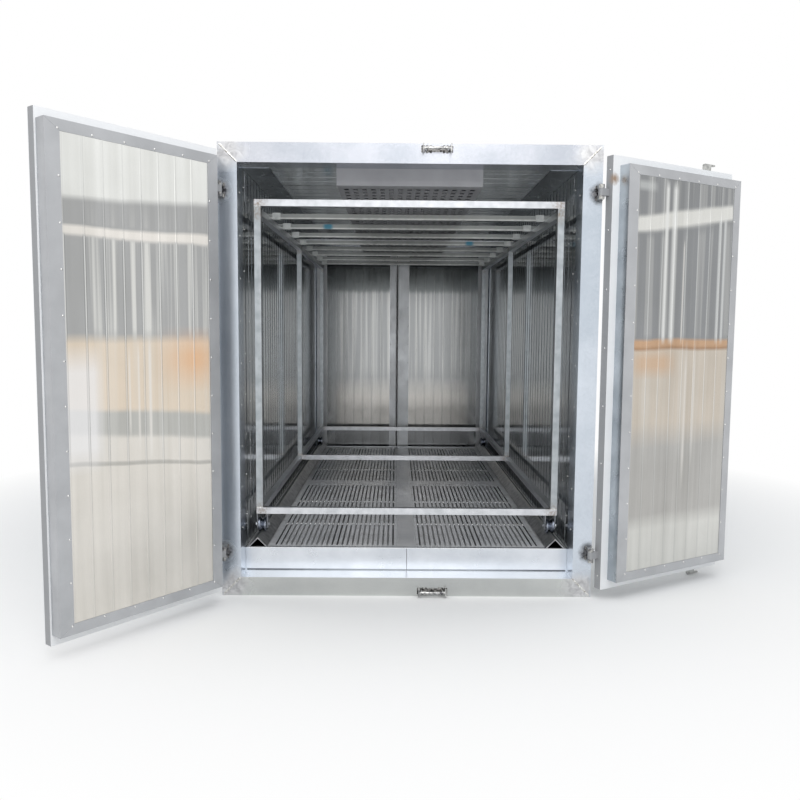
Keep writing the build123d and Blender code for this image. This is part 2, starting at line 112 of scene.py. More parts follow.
studio = bpy.data.worlds.new("pale_studio")
bpy.context.scene.world = studio
studio.use_nodes = True
sky = studio.node_tree
sky.nodes.clear()
room = add_node(sky, "Background", {"Color": "#f3f6fa", "Strength": 0.75})
white = add_node(sky, "Background", {"Color": "#ffffff", "Strength": 1.0})
chosen = add_node(sky, "MixShader", {0: seen_share(sky), 1: room, 2: white})
add_node(sky, "OutputWorld", {"Surface": chosen})

floor_paint = bpy.data.materials.new("matt_white_floor")
floor_paint.use_nodes = True
floor_tree = floor_paint.node_tree
floor_tree.nodes.clear()
place = add_node(floor_tree, "TexCoord").outputs["Object"]
reach = add_node(floor_tree, "VectorMath", {0: place}, operation="LENGTH").outputs["Value"]
fade = add_node(floor_tree, "MapRange", {"Value": reach, "From Min": fade_start, "From Max": fade_end})
faded = add_node(floor_tree, "Math", {0: fade, 1: seen_share(floor_tree)}, operation="MULTIPLY")
matt = add_node(floor_tree, "BsdfDiffuse", {"Color": "#f4f4f3"})
glow = add_node(floor_tree, "Emission", {"Color": "#ffffff", "Strength": 1.0})
floor_surface = add_node(floor_tree, "MixShader", {0: faded, 1: matt, 2: glow})
add_node(floor_tree, "OutputMaterial", {"Surface": floor_surface})


def mesh_piece(name, points, faces, material, body, smooth=False):
    """Make a piece from point and face arrays, give it a material and let it ride on a CAD body."""
    mesh = bpy.data.meshes.new(name)
    mesh.from_pydata(np.asarray(points, float).tolist(), [], [list(map(int, face)) for face in faces])
    mesh.materials.append(material)
    mesh.polygons.foreach_set("use_smooth", [smooth] * len(mesh.polygons))
    mesh.update()
    piece = bpy.data.objects.new(name, mesh)
    bpy.context.collection.objects.link(piece)
    if body:
        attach(piece, body)
    return piece


corners = [(-floor_half, -floor_half, 0), (floor_half, -floor_half, 0), (floor_half, floor_half, 0),
           (-floor_half, floor_half, 0)]
mesh_piece("studio_floor", corners, [(0, 1, 2, 3)], floor_paint, None)

for name, place, aim, size, power in (
    ("overhead_lamp", (0, -2.5, 4.6), (0, -1.2, 0.6), 5.0, 62),
    ("front_lamp", (0.5, -6.0, 5.0), (0, 0.5, 0.6), 2.5, 70),
    ("doorway_lamp", (0.0, -5.8, 1.4), (0, 1.0, 1.1), 2.6, 12),
):
    lamp_data = bpy.data.lights.new(name, "AREA")
    lamp_data.size = size
    lamp_data.energy = power
    lamp = bpy.data.objects.new(name, lamp_data)
    lamp.location = place
    lamp.rotation_euler = (Vector(aim) - Vector(place)).to_track_quat("-Z", "Y").to_euler()
    bpy.context.collection.objects.link(lamp)


# Cabinet panels: mineral wool boards in off-white coated steel skins, joined at every metre or so.
# The coating is smooth with a faint orange peel, and a thin dark joint shows where two boards meet.
board_width = 0.945
joint_width = 0.004
panel_dust_mm, panel_peel_mm = 420, 3


def new_finish(name, metallic, roughness):
    """Start a material with a metal or paint shader. Gives it, its tree, its shader and its coordinates."""
    material = bpy.data.materials.new(name)
    material.use_nodes = True
    tree = material.node_tree
    tree.nodes.clear()
    shader = add_node(tree, "BsdfPrincipled", {"Metallic": metallic, "Roughness": roughness})
    add_node(tree, "OutputMaterial", {"Surface": shader})
    return material, tree, shader, add_node(tree, "TexCoord").outputs["Object"]


def coat(material, *names):
    """Give CAD nodes this material in every slot."""
    for name in names:
        for entry in nodes[name].material_slots:
            entry.material = material


coated_skin, tree, shader, coords = new_finish("off_white_coated_steel", 0.0, 0.38)
place = add_node(tree, "SeparateXYZ", {0: coords})
along = add_node(tree, "Math", {0: place.outputs["Y"], 1: board_width / 2}, operation="PINGPONG")
seam = add_node(tree, "Math", {0: along, 1: joint_width / 2}, operation="LESS_THAN")
dust = add_node(tree, "TexNoise", {"Vector": coords, "Scale": 1000 / panel_dust_mm, "Detail": 4})
skin = add_node(tree, "Mix", {"Factor": dust, "A": "#d6d9da", "B": "#e6e7e6"}, data_type="RGBA")
skin = add_node(tree, "Mix", {"Factor": seam, "A": skin, "B": "#6d7072"}, data_type="RGBA")
tree.links.new(skin.outputs[2], shader.inputs["Base Color"])
peel = add_node(tree, "TexNoise", {"Vector": coords, "Scale": 1000 / panel_peel_mm, "Detail": 2})
peel = add_node(tree, "Bump", {"Height": peel, "Distance": 0.00005})
tree.links.new(peel.outputs["Normal"], shader.inputs["Normal"])
coat(coated_skin, "floor_panel", "wall_panels", "roof_panel")


# Lining sheets: mill-finish galvanised steel, rolled with shallow ribs, bright enough to mirror the trolley.
# Rolling leaves soft streaks along the ribs and the zinc clouds in patches. Each crest has a painted
# highlight and each rib's foot a painted shadow line.
rib_width = 0.008
wall_rib_pitch, ceiling_rib_pitch = 0.078, 0.110
streak_mm, fine_streak_mm, cloud_mm, wave_mm = 45, 33, 320, 140
streak_stretch, fine_stretch, wave_stretch = 26.0, 60, 6
cloud_low, cloud_high = 0.72, 1.3
sheet_wave = 0.0004
lean_middle = 0.2
waver_depth = 0.006


def ribbed_zinc(name, across, first_rib, rib_pitch, rib_axis, low, high, crest_highlight_colour, shine, rough_low, rough_high,
                hinge_line=0.0, look=None):
    """Rolled zinc sheet. across is the unit direction square to the ribs, and rib_axis the one along them.
    Its colour is a cloud of two greys drawn out into streaks. The crests are the places whose distance from
    the nearest rib line is under half a rib, and shine is how far they go to their own colour: a painted
    highlight along each crest, beside a painted shadow line at each rib's foot. A door sheet also has a look
    of
    painted reflections: tones up the sheet that lean by so much a metre low down and high up and waver with
    the clouds, the levels where pale painted streaks of reflection show, and soft marks of painted
    reflection. A mark has its span from the hinge line, its span in height, its two soft edges, its colour
    and its strength. Levels go by half the height, so they reach to two metres."""
    material, tree, shader, coords = new_finish(name, 1.0, 0.25)
    stretch = [streak_stretch if axis == rib_axis else 1.0 for axis in "XYZ"]
    drawn = add_node(tree, "Mapping", {"Vector": coords, "Scale": [1 / s for s in stretch]})
    streak = add_node(tree, "TexNoise", {"Vector": drawn, "Scale": 1000 / streak_mm, "Detail": 2})
    cloud = add_node(tree, "TexNoise", {"Vector": coords, "Scale": 1000 / cloud_mm, "Detail": 3})
    both = add_node(tree, "Math", {0: streak, 1: cloud}, operation="ADD")
    share = add_node(tree, "MapRange", {"Value": both, "From Min": cloud_low, "From Max": cloud_high})
    base = add_node(tree, "Mix", {"Factor": share, "A": low, "B": high}, data_type="RGBA")
    reach = add_node(tree, "VectorMath", {0: coords, 1: across}, operation="DOT_PRODUCT").outputs["Value"]
    crest_highlight_strength = shine
    if look:
        height = add_node(tree, "SeparateXYZ", {0: coords}).outputs["Z"]
        place = add_node(tree, "Math", {0: reach, 1: hinge_line}, operation="SUBTRACT")
        waver = add_node(tree, "MapRange", {"Value": cloud, "From Min": 0.3, "From Max": 0.7,
                                            "To Min": -waver_depth, "To Max": waver_depth})
        lower = add_node(tree, "MapRange", {"Value": height, "From Min": 0.85, "From Max": 1.15,
                                            "To Min": look["low_lean"], "To Max": 0.0})
        upper = add_node(tree, "MapRange", {"Value": height, "From Min": 1.45, "From Max": 1.70,
                                            "To Min": 0.0, "To Max": look["high_lean"]})
        lean = add_node(tree, "Math", {0: lower, 1: upper}, operation="ADD")
        offset = add_node(tree, "Math", {0: place, 1: lean_middle}, operation="SUBTRACT")
        waver = add_node(tree, "Math", {0: lean, 1: offset, 2: waver}, operation="MULTIPLY_ADD")
        level = add_node(tree, "Math", {0: height, 1: waver}, operation="ADD")
        level = add_node(tree, "Math", {0: level, 1: 0.5}, operation="MULTIPLY")
        # Painted reflections: tones by height, multiplied into the sheet's colour.
        ramp = add_node(tree, "ValToRGB", {"Fac": level}, stops=look["tones"])
        base = add_node(tree, "Mix", {"Factor": 1.0, "A": ramp, "B": base}, data_type="RGBA",
                        blend_type="MULTIPLY")
        # Pale painted streaks of reflection, shown at the levels given in streaks.
        fine = add_node(tree, "Mapping", {"Vector": coords, "Scale": [1, 1, 1 / fine_stretch]})
        fine = add_node(tree, "TexNoise", {"Vector": fine, "Scale": 1000 / fine_streak_mm, "Detail": 2,
                                           "Roughness": 0.6})
        pale = add_node(tree, "MapRange", {"Value": fine, "From Min": 0.47, "From Max": 0.62})
        shown = add_node(tree, "ValToRGB", {"Fac": level}, stops=look["streaks"])
        pale = add_node(tree, "Math", {0: pale, 1: shown}, operation="MULTIPLY")
        base = add_node(tree, "Mix", {"Factor": pale, "A": base.outputs[2], "B": "#dfdfdb"}, data_type="RGBA")
        # Each mark is a soft patch of painted reflection.
        for u_from, u_to, z_from, z_to, soft_side, soft_rise, tint, most in look["marks"]:
            half_span, half_rise = (u_to - u_from) / 2, (z_to - z_from) / 2
            sideways = add_node(tree, "Math", {0: place, 1: (u_from + u_to) / 2}, operation="SUBTRACT")
            sideways = add_node(tree, "Math", {0: sideways}, operation="ABSOLUTE")
            sideways = add_node(tree, "MapRange", {"Value": sideways, "From Min": half_span - soft_side,
                                                   "From Max": half_span + soft_side, "To Min": most,
                                                   "To Max": 0.0})
            rise = add_node(tree, "Math", {0: height, 1: (z_from + z_to) / 2}, operation="SUBTRACT")
            rise = add_node(tree, "Math", {0: rise}, operation="ABSOLUTE")
            rise = add_node(tree, "MapRange", {"Value": rise, "From Min": half_rise - soft_rise,
                                               "From Max": half_rise + soft_rise, "To Min": 1.0,
                                               "To Max": 0.0})
            share = add_node(tree, "Math", {0: sideways, 1: rise}, operation="MULTIPLY")
            base = add_node(tree, "Mix", {"Factor": share, "A": base.outputs[2], "B": tint}, data_type="RGBA")
        crest_highlight_strength = add_node(tree, "MapRange", {"Value": shown, "From Max": 0.6, "To Min": shine * 0.15,
                                                "To Max": shine})
    reach = add_node(tree, "Math", {0: reach, 1: first_rib}, operation="SUBTRACT")
    reach = add_node(tree, "Math", {0: reach, 1: rib_pitch / 2}, operation="PINGPONG")
    # Painted shadow: a thin dark line at the foot of each rib.
    rib_foot_shade = add_node(tree, "MapRange", {"Value": reach, "From Min": rib_width * 0.55,
                                       "From Max": rib_width * 0.8, "To Min": crest_highlight_strength, "To Max": 0.0})
    base = add_node(tree, "Mix", {"Factor": rib_foot_shade, "A": base.outputs[2], "B": "#7d8081"}, data_type="RGBA")
    # Painted highlight: a bright line along each crest.
    crest_highlight_share = add_node(tree, "MapRange", {"Value": reach, "From Min": rib_width * 0.2,
                                           "From Max": rib_width * 0.45, "To Min": crest_highlight_strength, "To Max": 0.0})
    base = add_node(tree, "Mix", {"Factor": crest_highlight_share, "A": base.outputs[2], "B": crest_highlight_colour}, data_type="RGBA")
    tree.links.new(base.outputs[2], shader.inputs["Base Color"])
    gloss = add_node(tree, "MapRange", {"Value": both, "From Min": cloud_low, "From Max": cloud_high,
                                        "To Min": rough_low, "To Max": rough_high})
    tree.links.new(gloss.outputs["Result"], shader.inputs["Roughness"])
    slow = [1 / min(s, wave_stretch) for s in stretch]
    waves = add_node(tree, "Mapping", {"Vector": coords, "Scale": slow})
    waves = add_node(tree, "TexNoise", {"Vector": waves, "Scale": 1000 / wave_mm, "Detail": 1})
    waves = add_node(tree, "Bump", {"Height": waves, "Distance": sheet_wave})
    tree.links.new(waves.outputs["Normal"], shader.inputs["Normal"])
    return material


first_wall_rib = wall_rib_pitch / 2
wall_sheet = ribbed_zinc("bright_galvanised_wall_lining", (0, 1, 0), first_wall_rib, wall_rib_pitch, "Z",
                         "#adb2b6", "#d0d4d6", "#e1e4e6", 0.5, 0.09, 0.15)
coat(wall_sheet, "wall_liners")
first_ceiling_rib = ceiling_rib_pitch / 2
roof_sheet = ribbed_zinc("bright_galvanised_ceiling", (0, 1, 0), first_ceiling_rib, ceiling_rib_pitch, "X",
                         "#d6dbdf", "#f3f5f7", "#ffffff", 0.7, 0.16, 0.26)
coat(roof_sheet, "ceiling_liner")


# End frames: galvanised plate angles welded at the mitres and ground flush, with the hinges welded on.
# Grinding leaves scoured patches at the corners, and welding leaves smoky halos and dark runs by each hinge.
half_width = 0.835
top_of_oven = 2.005
axis_x, axis_y = 0.820, 1.739
ledge_from = 0.0838
hinge_levels = (0.205, 1.800)
frame_face = 1.700
frame_cloud_mm, spangle_mm, scratch_mm, soot_mm = 310, 9, 31, 8


def near(tree, coords, points, inner, outer, ragged, grain_mm=45):
    """One inside a radius of any point and nought beyond an outer radius, frayed by noise of a given depth.
    Left and right and both ends of the oven are folded together before the distance is taken."""
    folded = add_node(tree, "VectorMath", {0: coords}, operation="ABSOLUTE")
    gaps = [add_node(tree, "VectorMath", {0: folded, 1: point}, operation="DISTANCE").outputs["Value"]
            for point in points]
    reach = gaps[0]
    for gap in gaps[1:]:
        reach = add_node(tree, "Math", {0: reach, 1: gap}, operation="MINIMUM")
    fray = add_node(tree, "TexNoise", {"Vector": coords, "Scale": 1000 / grain_mm, "Detail": 4})
    reach = add_node(tree, "Math", {0: fray, 1: 2 * ragged, 2: reach}, operation="MULTIPLY_ADD")
    return add_node(tree, "MapRange", {"Value": reach, "From Min": inner + ragged, "From Max": outer + ragged,
                                       "To Min": 1.0, "To Max": 0.0})


def frame_finish(name, low, high, bright_from=None):
    """Galvanised frame plate: soft zinc clouds with spangles, scoured pale at the mitres and smoked by the
    hinges. Above a given height, along the sill's upturned ledge, it is painted bright as a highlight."""
    material, tree, shader, coords = new_finish(name, 1.0, 0.36)
    cloud = add_node(tree, "TexNoise", {"Vector": coords, "Scale": 1000 / frame_cloud_mm, "Detail": 4})
    flakes = add_node(tree, "TexVoronoi", {"Vector": coords, "Scale": 1000 / spangle_mm})
    flake = add_node(tree, "SeparateColor", {0: flakes.outputs["Color"]}).outputs["Red"]
    share = add_node(tree, "Math", {0: flake, 1: 0.07, 2: cloud}, operation="MULTIPLY_ADD")
    share = add_node(tree, "MapRange", {"Value": share, "From Min": 0.36, "From Max": 0.72})
    base = add_node(tree, "Mix", {"Factor": share, "A": low, "B": high}, data_type="RGBA")
    if bright_from:
        # Painted highlight: above this height the plate turns bright.
        height = add_node(tree, "SeparateXYZ", {0: coords}).outputs["Z"]
        ledge = add_node(tree, "Math", {0: height, 1: bright_from}, operation="GREATER_THAN")
        base = add_node(tree, "Mix", {"Factor": ledge, "A": base, "B": "#e6e9ec"}, data_type="RGBA")
    ground = near(tree, coords, [(0.79, frame_face, 1.965), (0.79, frame_face, 0.04)], 0.03, 0.095, 0.04)
    lines = add_node(tree, "TexNoise", {"Vector": coords, "Scale": 1000 / scratch_mm, "Detail": 5,
                                        "Distortion": 1.2})
    scoured = add_node(tree, "Mix", {"Factor": add_node(tree, "MapRange", {"Value": lines, "From Min": 0.35,
                                                                             "From Max": 0.65}),
                                     "A": "#b4b4b6", "B": "#d8d8d9"}, data_type="RGBA")
    base = add_node(tree, "Mix", {"Factor": ground, "A": base, "B": scoured}, data_type="RGBA")
    smoke = near(tree, coords, [(axis_x + 0.005, frame_face, level) for level in hinge_levels],
                 0.026, 0.056, 0.014, 25)
    speck = add_node(tree, "TexNoise", {"Vector": coords, "Scale": 1000 / soot_mm, "Detail": 3})
    soot_and_shade = add_node(tree, "Mix", {"Factor": add_node(tree, "MapRange", {"Value": speck, "From Min": 0.42,
                                                                          "From Max": 0.62}),
                                  "A": "#3a3a3e", "B": "#8d8d90"}, data_type="RGBA")
    base = add_node(tree, "Mix", {"Factor": smoke, "A": base, "B": soot_and_shade}, data_type="RGBA")
    tree.links.new(base.outputs[2], shader.inputs["Base Color"])
    rubbed = add_node(tree, "Math", {0: ground, 1: smoke}, operation="MAXIMUM")
    gloss = add_node(tree, "MapRange", {"Value": rubbed, "To Min": 0.26, "To Max": 0.5})
    tree.links.new(gloss.outputs["Result"], shader.inputs["Roughness"])
    rough = add_node(tree, "Math", {0: lines, 1: rubbed}, operation="MULTIPLY")
    first = add_node(tree, "Bump", {"Height": rough, "Distance": 0.0009})
    slow = add_node(tree, "Bump", {"Height": cloud, "Distance": 0.0005, "Normal": first})
    tree.links.new(slow.outputs["Normal"], shader.inputs["Normal"])
    return material


coat(frame_finish("galvanised_head_plate", "#bfc4cd", "#d9dbe2"), "frame_heads")
# The sill plate's upturned ledge gets a painted highlight.
coat(frame_finish("galvanised_sill_plate", "#c4c6c5", "#d2d4d2", ledge_from), "frame_sills")
coat(frame_finish("galvanised_jamb_plate", "#c0c9d3", "#d6dde6"), "frame_jambs")


# Weld beads: a row of overlapping weld ripples along each mitre of the end frames, and small rough runs that
# hold the hinge lugs to the frame and the keepers to the head and sill. Left bare, so dull in the hollows.
half_opening = 0.750
sill_line, head_line = 0.085, 1.920
mitre_margin, mitre_width, mitre_height, mitre_ripples = 0.006, 0.010, 0.0018, 26
lug_weld_near, lug_weld_far, lug_weld_edge = 0.0155, 0.0315, 0.0125
rough_weld_width, rough_weld_height = 0.009, 0.004
bead_sink = 0.0002
weld_patch_mm, weld_pit_mm = 10, 4
weld_metal, tree, shader, coords = new_finish("bare_weld_metal", 1.0, 0.42)
patch = add_node(tree, "TexNoise", {"Vector": coords, "Scale": 1000 / weld_patch_mm, "Detail": 4})
patch = add_node(tree, "MapRange", {"Value": patch, "From Min": 0.35, "From Max": 0.65})
metal = add_node(tree, "Mix", {"Factor": patch, "A": "#a5a19b", "B": "#f5f5f3"}, data_type="RGBA")
tree.links.new(metal.outputs[2], shader.inputs["Base Color"])
pits = add_node(tree, "TexNoise", {"Vector": coords, "Scale": 1000 / weld_pit_mm, "Detail": 3})
pits = add_node(tree, "Bump", {"Height": pits, "Distance": 0.0005})
tree.links.new(pits.outputs["Normal"], shader.inputs["Normal"])
dark_weld, tree, shader, coords = new_finish("smoked_weld_metal", 1.0, 0.5)
patch = add_node(tree, "TexNoise", {"Vector": coords, "Scale": 1000 / weld_patch_mm, "Detail": 4})
patch = add_node(tree, "MapRange", {"Value": patch, "From Min": 0.4, "From Max": 0.62})
metal = add_node(tree, "Mix", {"Factor": patch, "A": "#2e2c2d", "B": "#b5b3b0"}, data_type="RGBA")
tree.links.new(metal.outputs[2], shader.inputs["Base Color"])
pits = add_node(tree, "TexNoise", {"Vector": coords, "Scale": 1000 / weld_pit_mm, "Detail": 3})
pits = add_node(tree, "Bump", {"Height": pits, "Distance": 0.0008})
tree.links.new(pits.outputs["Normal"], shader.inputs["Normal"])


def bead_mesh(start, stop, width, height, out, waves):
    """Points and faces of a weld bead: a half sine across it, ripples along it, and a taper at both ends."""
    start, stop, out = (np.array(v, float) for v in (start, stop, out))
    along = (stop - start) / np.linalg.norm(stop - start)
    across = np.cross(out, along)
    s = np.linspace(0, 1, waves * 3 + 1)[:, None]
    t = np.linspace(-1, 1, 7)[None, :]
    taper = np.minimum(1, np.minimum(s, 1 - s) * 12 + 0.2)
    swell = (0.72 + 0.28 * np.abs(np.sin(s * waves * math.pi))) * taper
    side = across * (t * swell * width / 2)[..., None]
    rise = out * (np.cos(t * math.pi / 2) * swell * height - bead_sink)[..., None]
    points = (start + (stop - start) * s[..., None]) + side + rise
    rows, columns = points.shape[:2]
    grid = np.arange(rows * columns).reshape(rows, columns)
    faces = np.stack([grid[:-1, :-1], grid[1:, :-1], grid[1:, 1:], grid[:-1, 1:]], -1).reshape(-1, 4)
    return points.reshape(-1, 3), faces


def beads(name, runs, width, height, material, body):
    """Several weld beads in one mesh. A run has a start, a stop, the way it faces and its ripple count."""
    parts = [bead_mesh(start, stop, width, height, out, waves) for start, stop, out, waves in runs]
    starts = np.cumsum([0] + [len(points) for points, _ in parts[:-1]])
    points = np.concatenate([points for points, _ in parts])
    faces = np.concatenate([faces + first for (_, faces), first in zip(parts, starts)])
    return mesh_piece(name, points, faces, material, body, True)


mitres = []
for end in (-1, 1):
    for side in (-1, 1):
        for outer_z, inner_z in ((top_of_oven - mitre_margin, head_line), (mitre_margin, sill_line)):
            mitres.append(((side * (half_width - mitre_margin), end * frame_face, outer_z),
                           (side * half_opening, end * frame_face, inner_z), (0, end, 0), mitre_ripples))
beads("frame_mitre_welds", mitres, mitre_width, mitre_height, weld_metal, "cabinet")
hinge_welds = []
for end in (-1, 1):
    for side in (-1, 1):
        for level in hinge_levels:
            for low, high in ((-lug_weld_far, -lug_weld_near), (lug_weld_near, lug_weld_far)):
                for edge in (-lug_weld_edge, lug_weld_edge):
                    x = side * axis_x + edge
                    hinge_welds.append(((x, end * (frame_face + 0.001), level + low),
                                        (x, end * (frame_face + 0.001), level + high), (0, end, 0), 5))
beads("hinge_lug_welds", hinge_welds, rough_weld_width, rough_weld_height, dark_weld, "cabinet")


# Folded closers: sill risers and the plain strips beside the walls, in galvanised sheet bent from the flat.
# They stay smooth, with only slow waves and soft clouding of the zinc.
zinc_cloud_mm, zinc_dirt_mm, slow_wave_mm = 180, 60, 240


def folded_zinc(name, low, high, rough_low, rough_high, wave, grime=None, metallic=1.0):
    """Smooth folded zinc sheet: soft clouds of two close greys over a slow waviness, dirtied in patches."""
    material, tree, shader, coords = new_finish(name, metallic, 0.3)
    cloud = add_node(tree, "TexNoise", {"Vector": coords, "Scale": 1000 / zinc_cloud_mm, "Detail": 4,
                                        "Roughness": 0.55})
    share = add_node(tree, "MapRange", {"Value": cloud, "From Min": 0.32, "From Max": 0.68})
    base = add_node(tree, "Mix", {"Factor": share, "A": low, "B": high}, data_type="RGBA")
    dirt = add_node(tree, "TexNoise", {"Vector": coords, "Scale": 1000 / zinc_dirt_mm, "Detail": 6,
                                       "Roughness": 0.65})
    if grime:
        worst = add_node(tree, "MapRange", {"Value": dirt, "From Min": 0.55, "From Max": 0.72, "To Max": 0.7})
        base = add_node(tree, "Mix", {"Factor": worst, "A": base, "B": grime}, data_type="RGBA")
    tree.links.new(base.outputs[2], shader.inputs["Base Color"])
    gloss = add_node(tree, "MapRange", {"Value": dirt, "From Min": 0.3, "From Max": 0.7, "To Min": rough_low,
                                        "To Max": rough_high})
    tree.links.new(gloss.outputs["Result"], shader.inputs["Roughness"])
    slow = add_node(tree, "TexNoise", {"Vector": coords, "Scale": 1000 / slow_wave_mm, "Detail": 1})
    slow = add_node(tree, "Bump", {"Height": slow, "Distance": wave})
    tree.links.new(slow.outputs["Normal"], shader.inputs["Normal"])
    return material


coat(folded_zinc("folded_riser_sheet", "#d6dbe2", "#e9edf3", 0.26, 0.34, 0.0002), "sill_risers")
coat(folded_zinc("dull_ceiling_strip", "#8b9097", "#a5abb2", 0.24, 0.36, 0.0005), "ceiling_edge_strips")


# Riser foot joints: grey sealant along the foot of each riser, where it stands on the sill's ledge.
# It is run on by hand and wiped. Dirt has darkened it at the ends, and feet have scuffed the middle.
joint_half_length, joint_low, joint_high, joint_depth = 0.744, 0.0852, 0.0892, 0.0015
sealant, tree, shader, coords = new_finish("dirty_grey_sealant", 0.0, 0.6)
sealant_mm = 30
smear = add_node(tree, "TexNoise", {"Vector": coords, "Scale": 1000 / sealant_mm, "Detail": 3})
smear = add_node(tree, "Mix", {"Factor": smear, "A": "#4a4e54", "B": "#858b92"}, data_type="RGBA")
place = add_node(tree, "SeparateXYZ", {0: add_node(tree, "VectorMath", {0: coords}, operation="ABSOLUTE")})
worn = add_node(tree, "MapRange", {"Value": place.outputs["X"], "From Min": 0.30, "From Max": 0.62,
                                   "To Min": 0.75, "To Max": 0.0})
smear = add_node(tree, "Mix", {"Factor": worn, "A": smear, "B": "#bfc4ca"}, data_type="RGBA")
tree.links.new(smear.outputs[2], shader.inputs["Base Color"])


def boxes(spans):
    """Points and faces of square blocks, each given by its two limits along x, y and z."""
    spans = np.asarray(spans, float).reshape(-1, 3, 2)
    picks = np.array([(0, 0, 0), (1, 0, 0), (1, 1, 0), (0, 1, 0), (0, 0, 1), (1, 0, 1), (1, 1, 1), (0, 1, 1)])
    points = spans[:, np.arange(3), picks].reshape(-1, 3)
    cell = np.array([(0, 3, 2, 1), (4, 5, 6, 7), (0, 1, 5, 4), (1, 2, 6, 5), (2, 3, 7, 6), (3, 0, 4, 7)])
    return points, (cell[None] + 8 * np.arange(len(spans))[:, None, None]).reshape(-1, 4)


riser_face = max(abs(corner[1]) for corner in nodes["sill_risers"].bound_box)


def across_risers(name, back, front, low, high, material):
    """A long thin strip across each end's riser, from behind its face to before it, between two levels."""
    strips = []
    for end in (-1, 1):
        depth = sorted((end * (riser_face + back), end * (riser_face + front)))
        strips.append(((-joint_half_length, joint_half_length), depth, (low, high)))
    mesh_piece(name, *boxes(strips), material, "cabinet")


across_risers("riser_foot_joints", 0, joint_depth, joint_low, joint_high, sealant)


# Riser top folds: the safe edge folded down along each riser's top, painted bright as a highlight.
# The fold stands just proud of the floor plates.
fold_low, fold_high = 0.1875, 0.1915
fold_back, fold_front = -0.0015, 0.0012
fold_highlight, tree, shader, coords = new_finish("painted_highlight_fold", 0.5, 0.3)
fold_highlight_mm = 60
highlight_mottle = add_node(tree, "TexNoise", {"Vector": coords, "Scale": 1000 / fold_highlight_mm, "Detail": 3})
highlight_mottle = add_node(tree, "Mix", {"Factor": highlight_mottle, "A": "#e0e3e6", "B": "#fafbfc"}, data_type="RGBA")
tree.links.new(highlight_mottle.outputs[2], shader.inputs["Base Color"])
across_risers("riser_top_highlight_folds", fold_back, fold_front, fold_low, fold_high, fold_highlight)


# Ceiling duct: a folded channel with its open side to the ceiling, pierced below with rows of short slots.
# Grey coated sheet; plain plates of the same sheet close its two ends.
duct_half, duct_end = 0.328, 1.582
duct_low, duct_high = 1.845, 1.920
duct_sheet = 0.003
slot_across, slot_along = 0.021, 0.046
duct_slot_pitch, duct_row_pitch = 0.0415, 0.080
duct_columns, duct_rows = 15, 38
duct_cloud_mm, duct_peel_mm = 90, 3


def pierced_sheet(x_lines, y_lines, holes, low, high):
    """Points and faces of a flat sheet between two levels with square holes: the cells of a grid are kept or
    left open, and every edge between a kept cell and an open one gets an upright wall."""
    x_lines, y_lines = np.asarray(x_lines), np.asarray(y_lines)
    kept = np.pad(~holes, 1)
    columns, rows = len(x_lines), len(y_lines)
    x, y = np.meshgrid(x_lines, y_lines, indexing="ij")
    layer = np.stack([x, y], -1).reshape(-1, 2)
    points = np.concatenate([np.column_stack([layer, np.full(len(layer), z)]) for z in (low, high)])
    index = np.arange(columns * rows).reshape(columns, rows)
    above = columns * rows
    inside = kept[1:-1, 1:-1]
    a, b, c, d = index[:-1, :-1], index[1:, :-1], index[1:, 1:], index[:-1, 1:]
    faces = [np.stack([a, b, c, d], -1)[inside] + above, np.stack([d, c, b, a], -1)[inside]]
    for first, second, beyond in ((a, b, kept[1:-1, :-2]), (b, c, kept[2:, 1:-1]),
                                  (c, d, kept[1:-1, 2:]), (d, a, kept[:-2, 1:-1])):
        edge = inside & ~beyond
        faces.append(np.stack([first, second, second + above, first + above], -1)[edge])
    return points, np.concatenate(faces)


def joined(*parts):
    """Several sets of points and faces as one, with each set's faces counted on from the sets before it."""
    starts = np.cumsum([0] + [len(points) for points, _ in parts[:-1]])
    return (np.concatenate([points for points, _ in parts]),
            np.concatenate([faces + first for (_, faces), first in zip(parts, starts)]))


def slotted_lines(count, pitch, width, end):
    """Grid lines of evenly spaced slots about the middle: one edge, each slot's two sides, the other edge."""
    centres = (np.arange(count) - (count - 1) / 2) * pitch
    slot_sides = np.column_stack([centres - width / 2, centres + width / 2]).ravel()
    return np.concatenate([[-end], slot_sides, [end]])


duct_grey, tree, shader, coords = new_finish("grey_coated_duct_sheet", 0.0, 0.5)
cloud = add_node(tree, "TexNoise", {"Vector": coords, "Scale": 1000 / duct_cloud_mm, "Detail": 3})
paint = add_node(tree, "Mix", {"Factor": cloud, "A": "#8c8c8f", "B": "#a3a3a6"}, data_type="RGBA")
tree.links.new(paint.outputs[2], shader.inputs["Base Color"])
peel = add_node(tree, "TexNoise", {"Vector": coords, "Scale": 1000 / duct_peel_mm, "Detail": 2})
peel = add_node(tree, "Bump", {"Height": peel, "Distance": 0.00004})
tree.links.new(peel.outputs["Normal"], shader.inputs["Normal"])
x_lines = slotted_lines(duct_columns, duct_slot_pitch, slot_across, duct_half)
y_lines = slotted_lines(duct_rows, duct_row_pitch, slot_along, duct_end)
holes = np.zeros((len(x_lines) - 1, len(y_lines) - 1), bool)
holes[1::2, 1::2] = True
channel_sides = boxes([[[side * duct_half, side * (duct_half - duct_sheet)][::side], [-duct_end, duct_end],
                        [duct_low + duct_sheet, duct_high]] for side in (-1, 1)])
duct = mesh_piece("slotted_ceiling_duct", *joined(pierced_sheet(x_lines, y_lines, holes, duct_low,
                                                                duct_low + duct_sheet), channel_sides),
                  duct_grey, "cabinet")
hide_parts("ceiling_duct")
coat(duct_grey, "duct_end_plates")


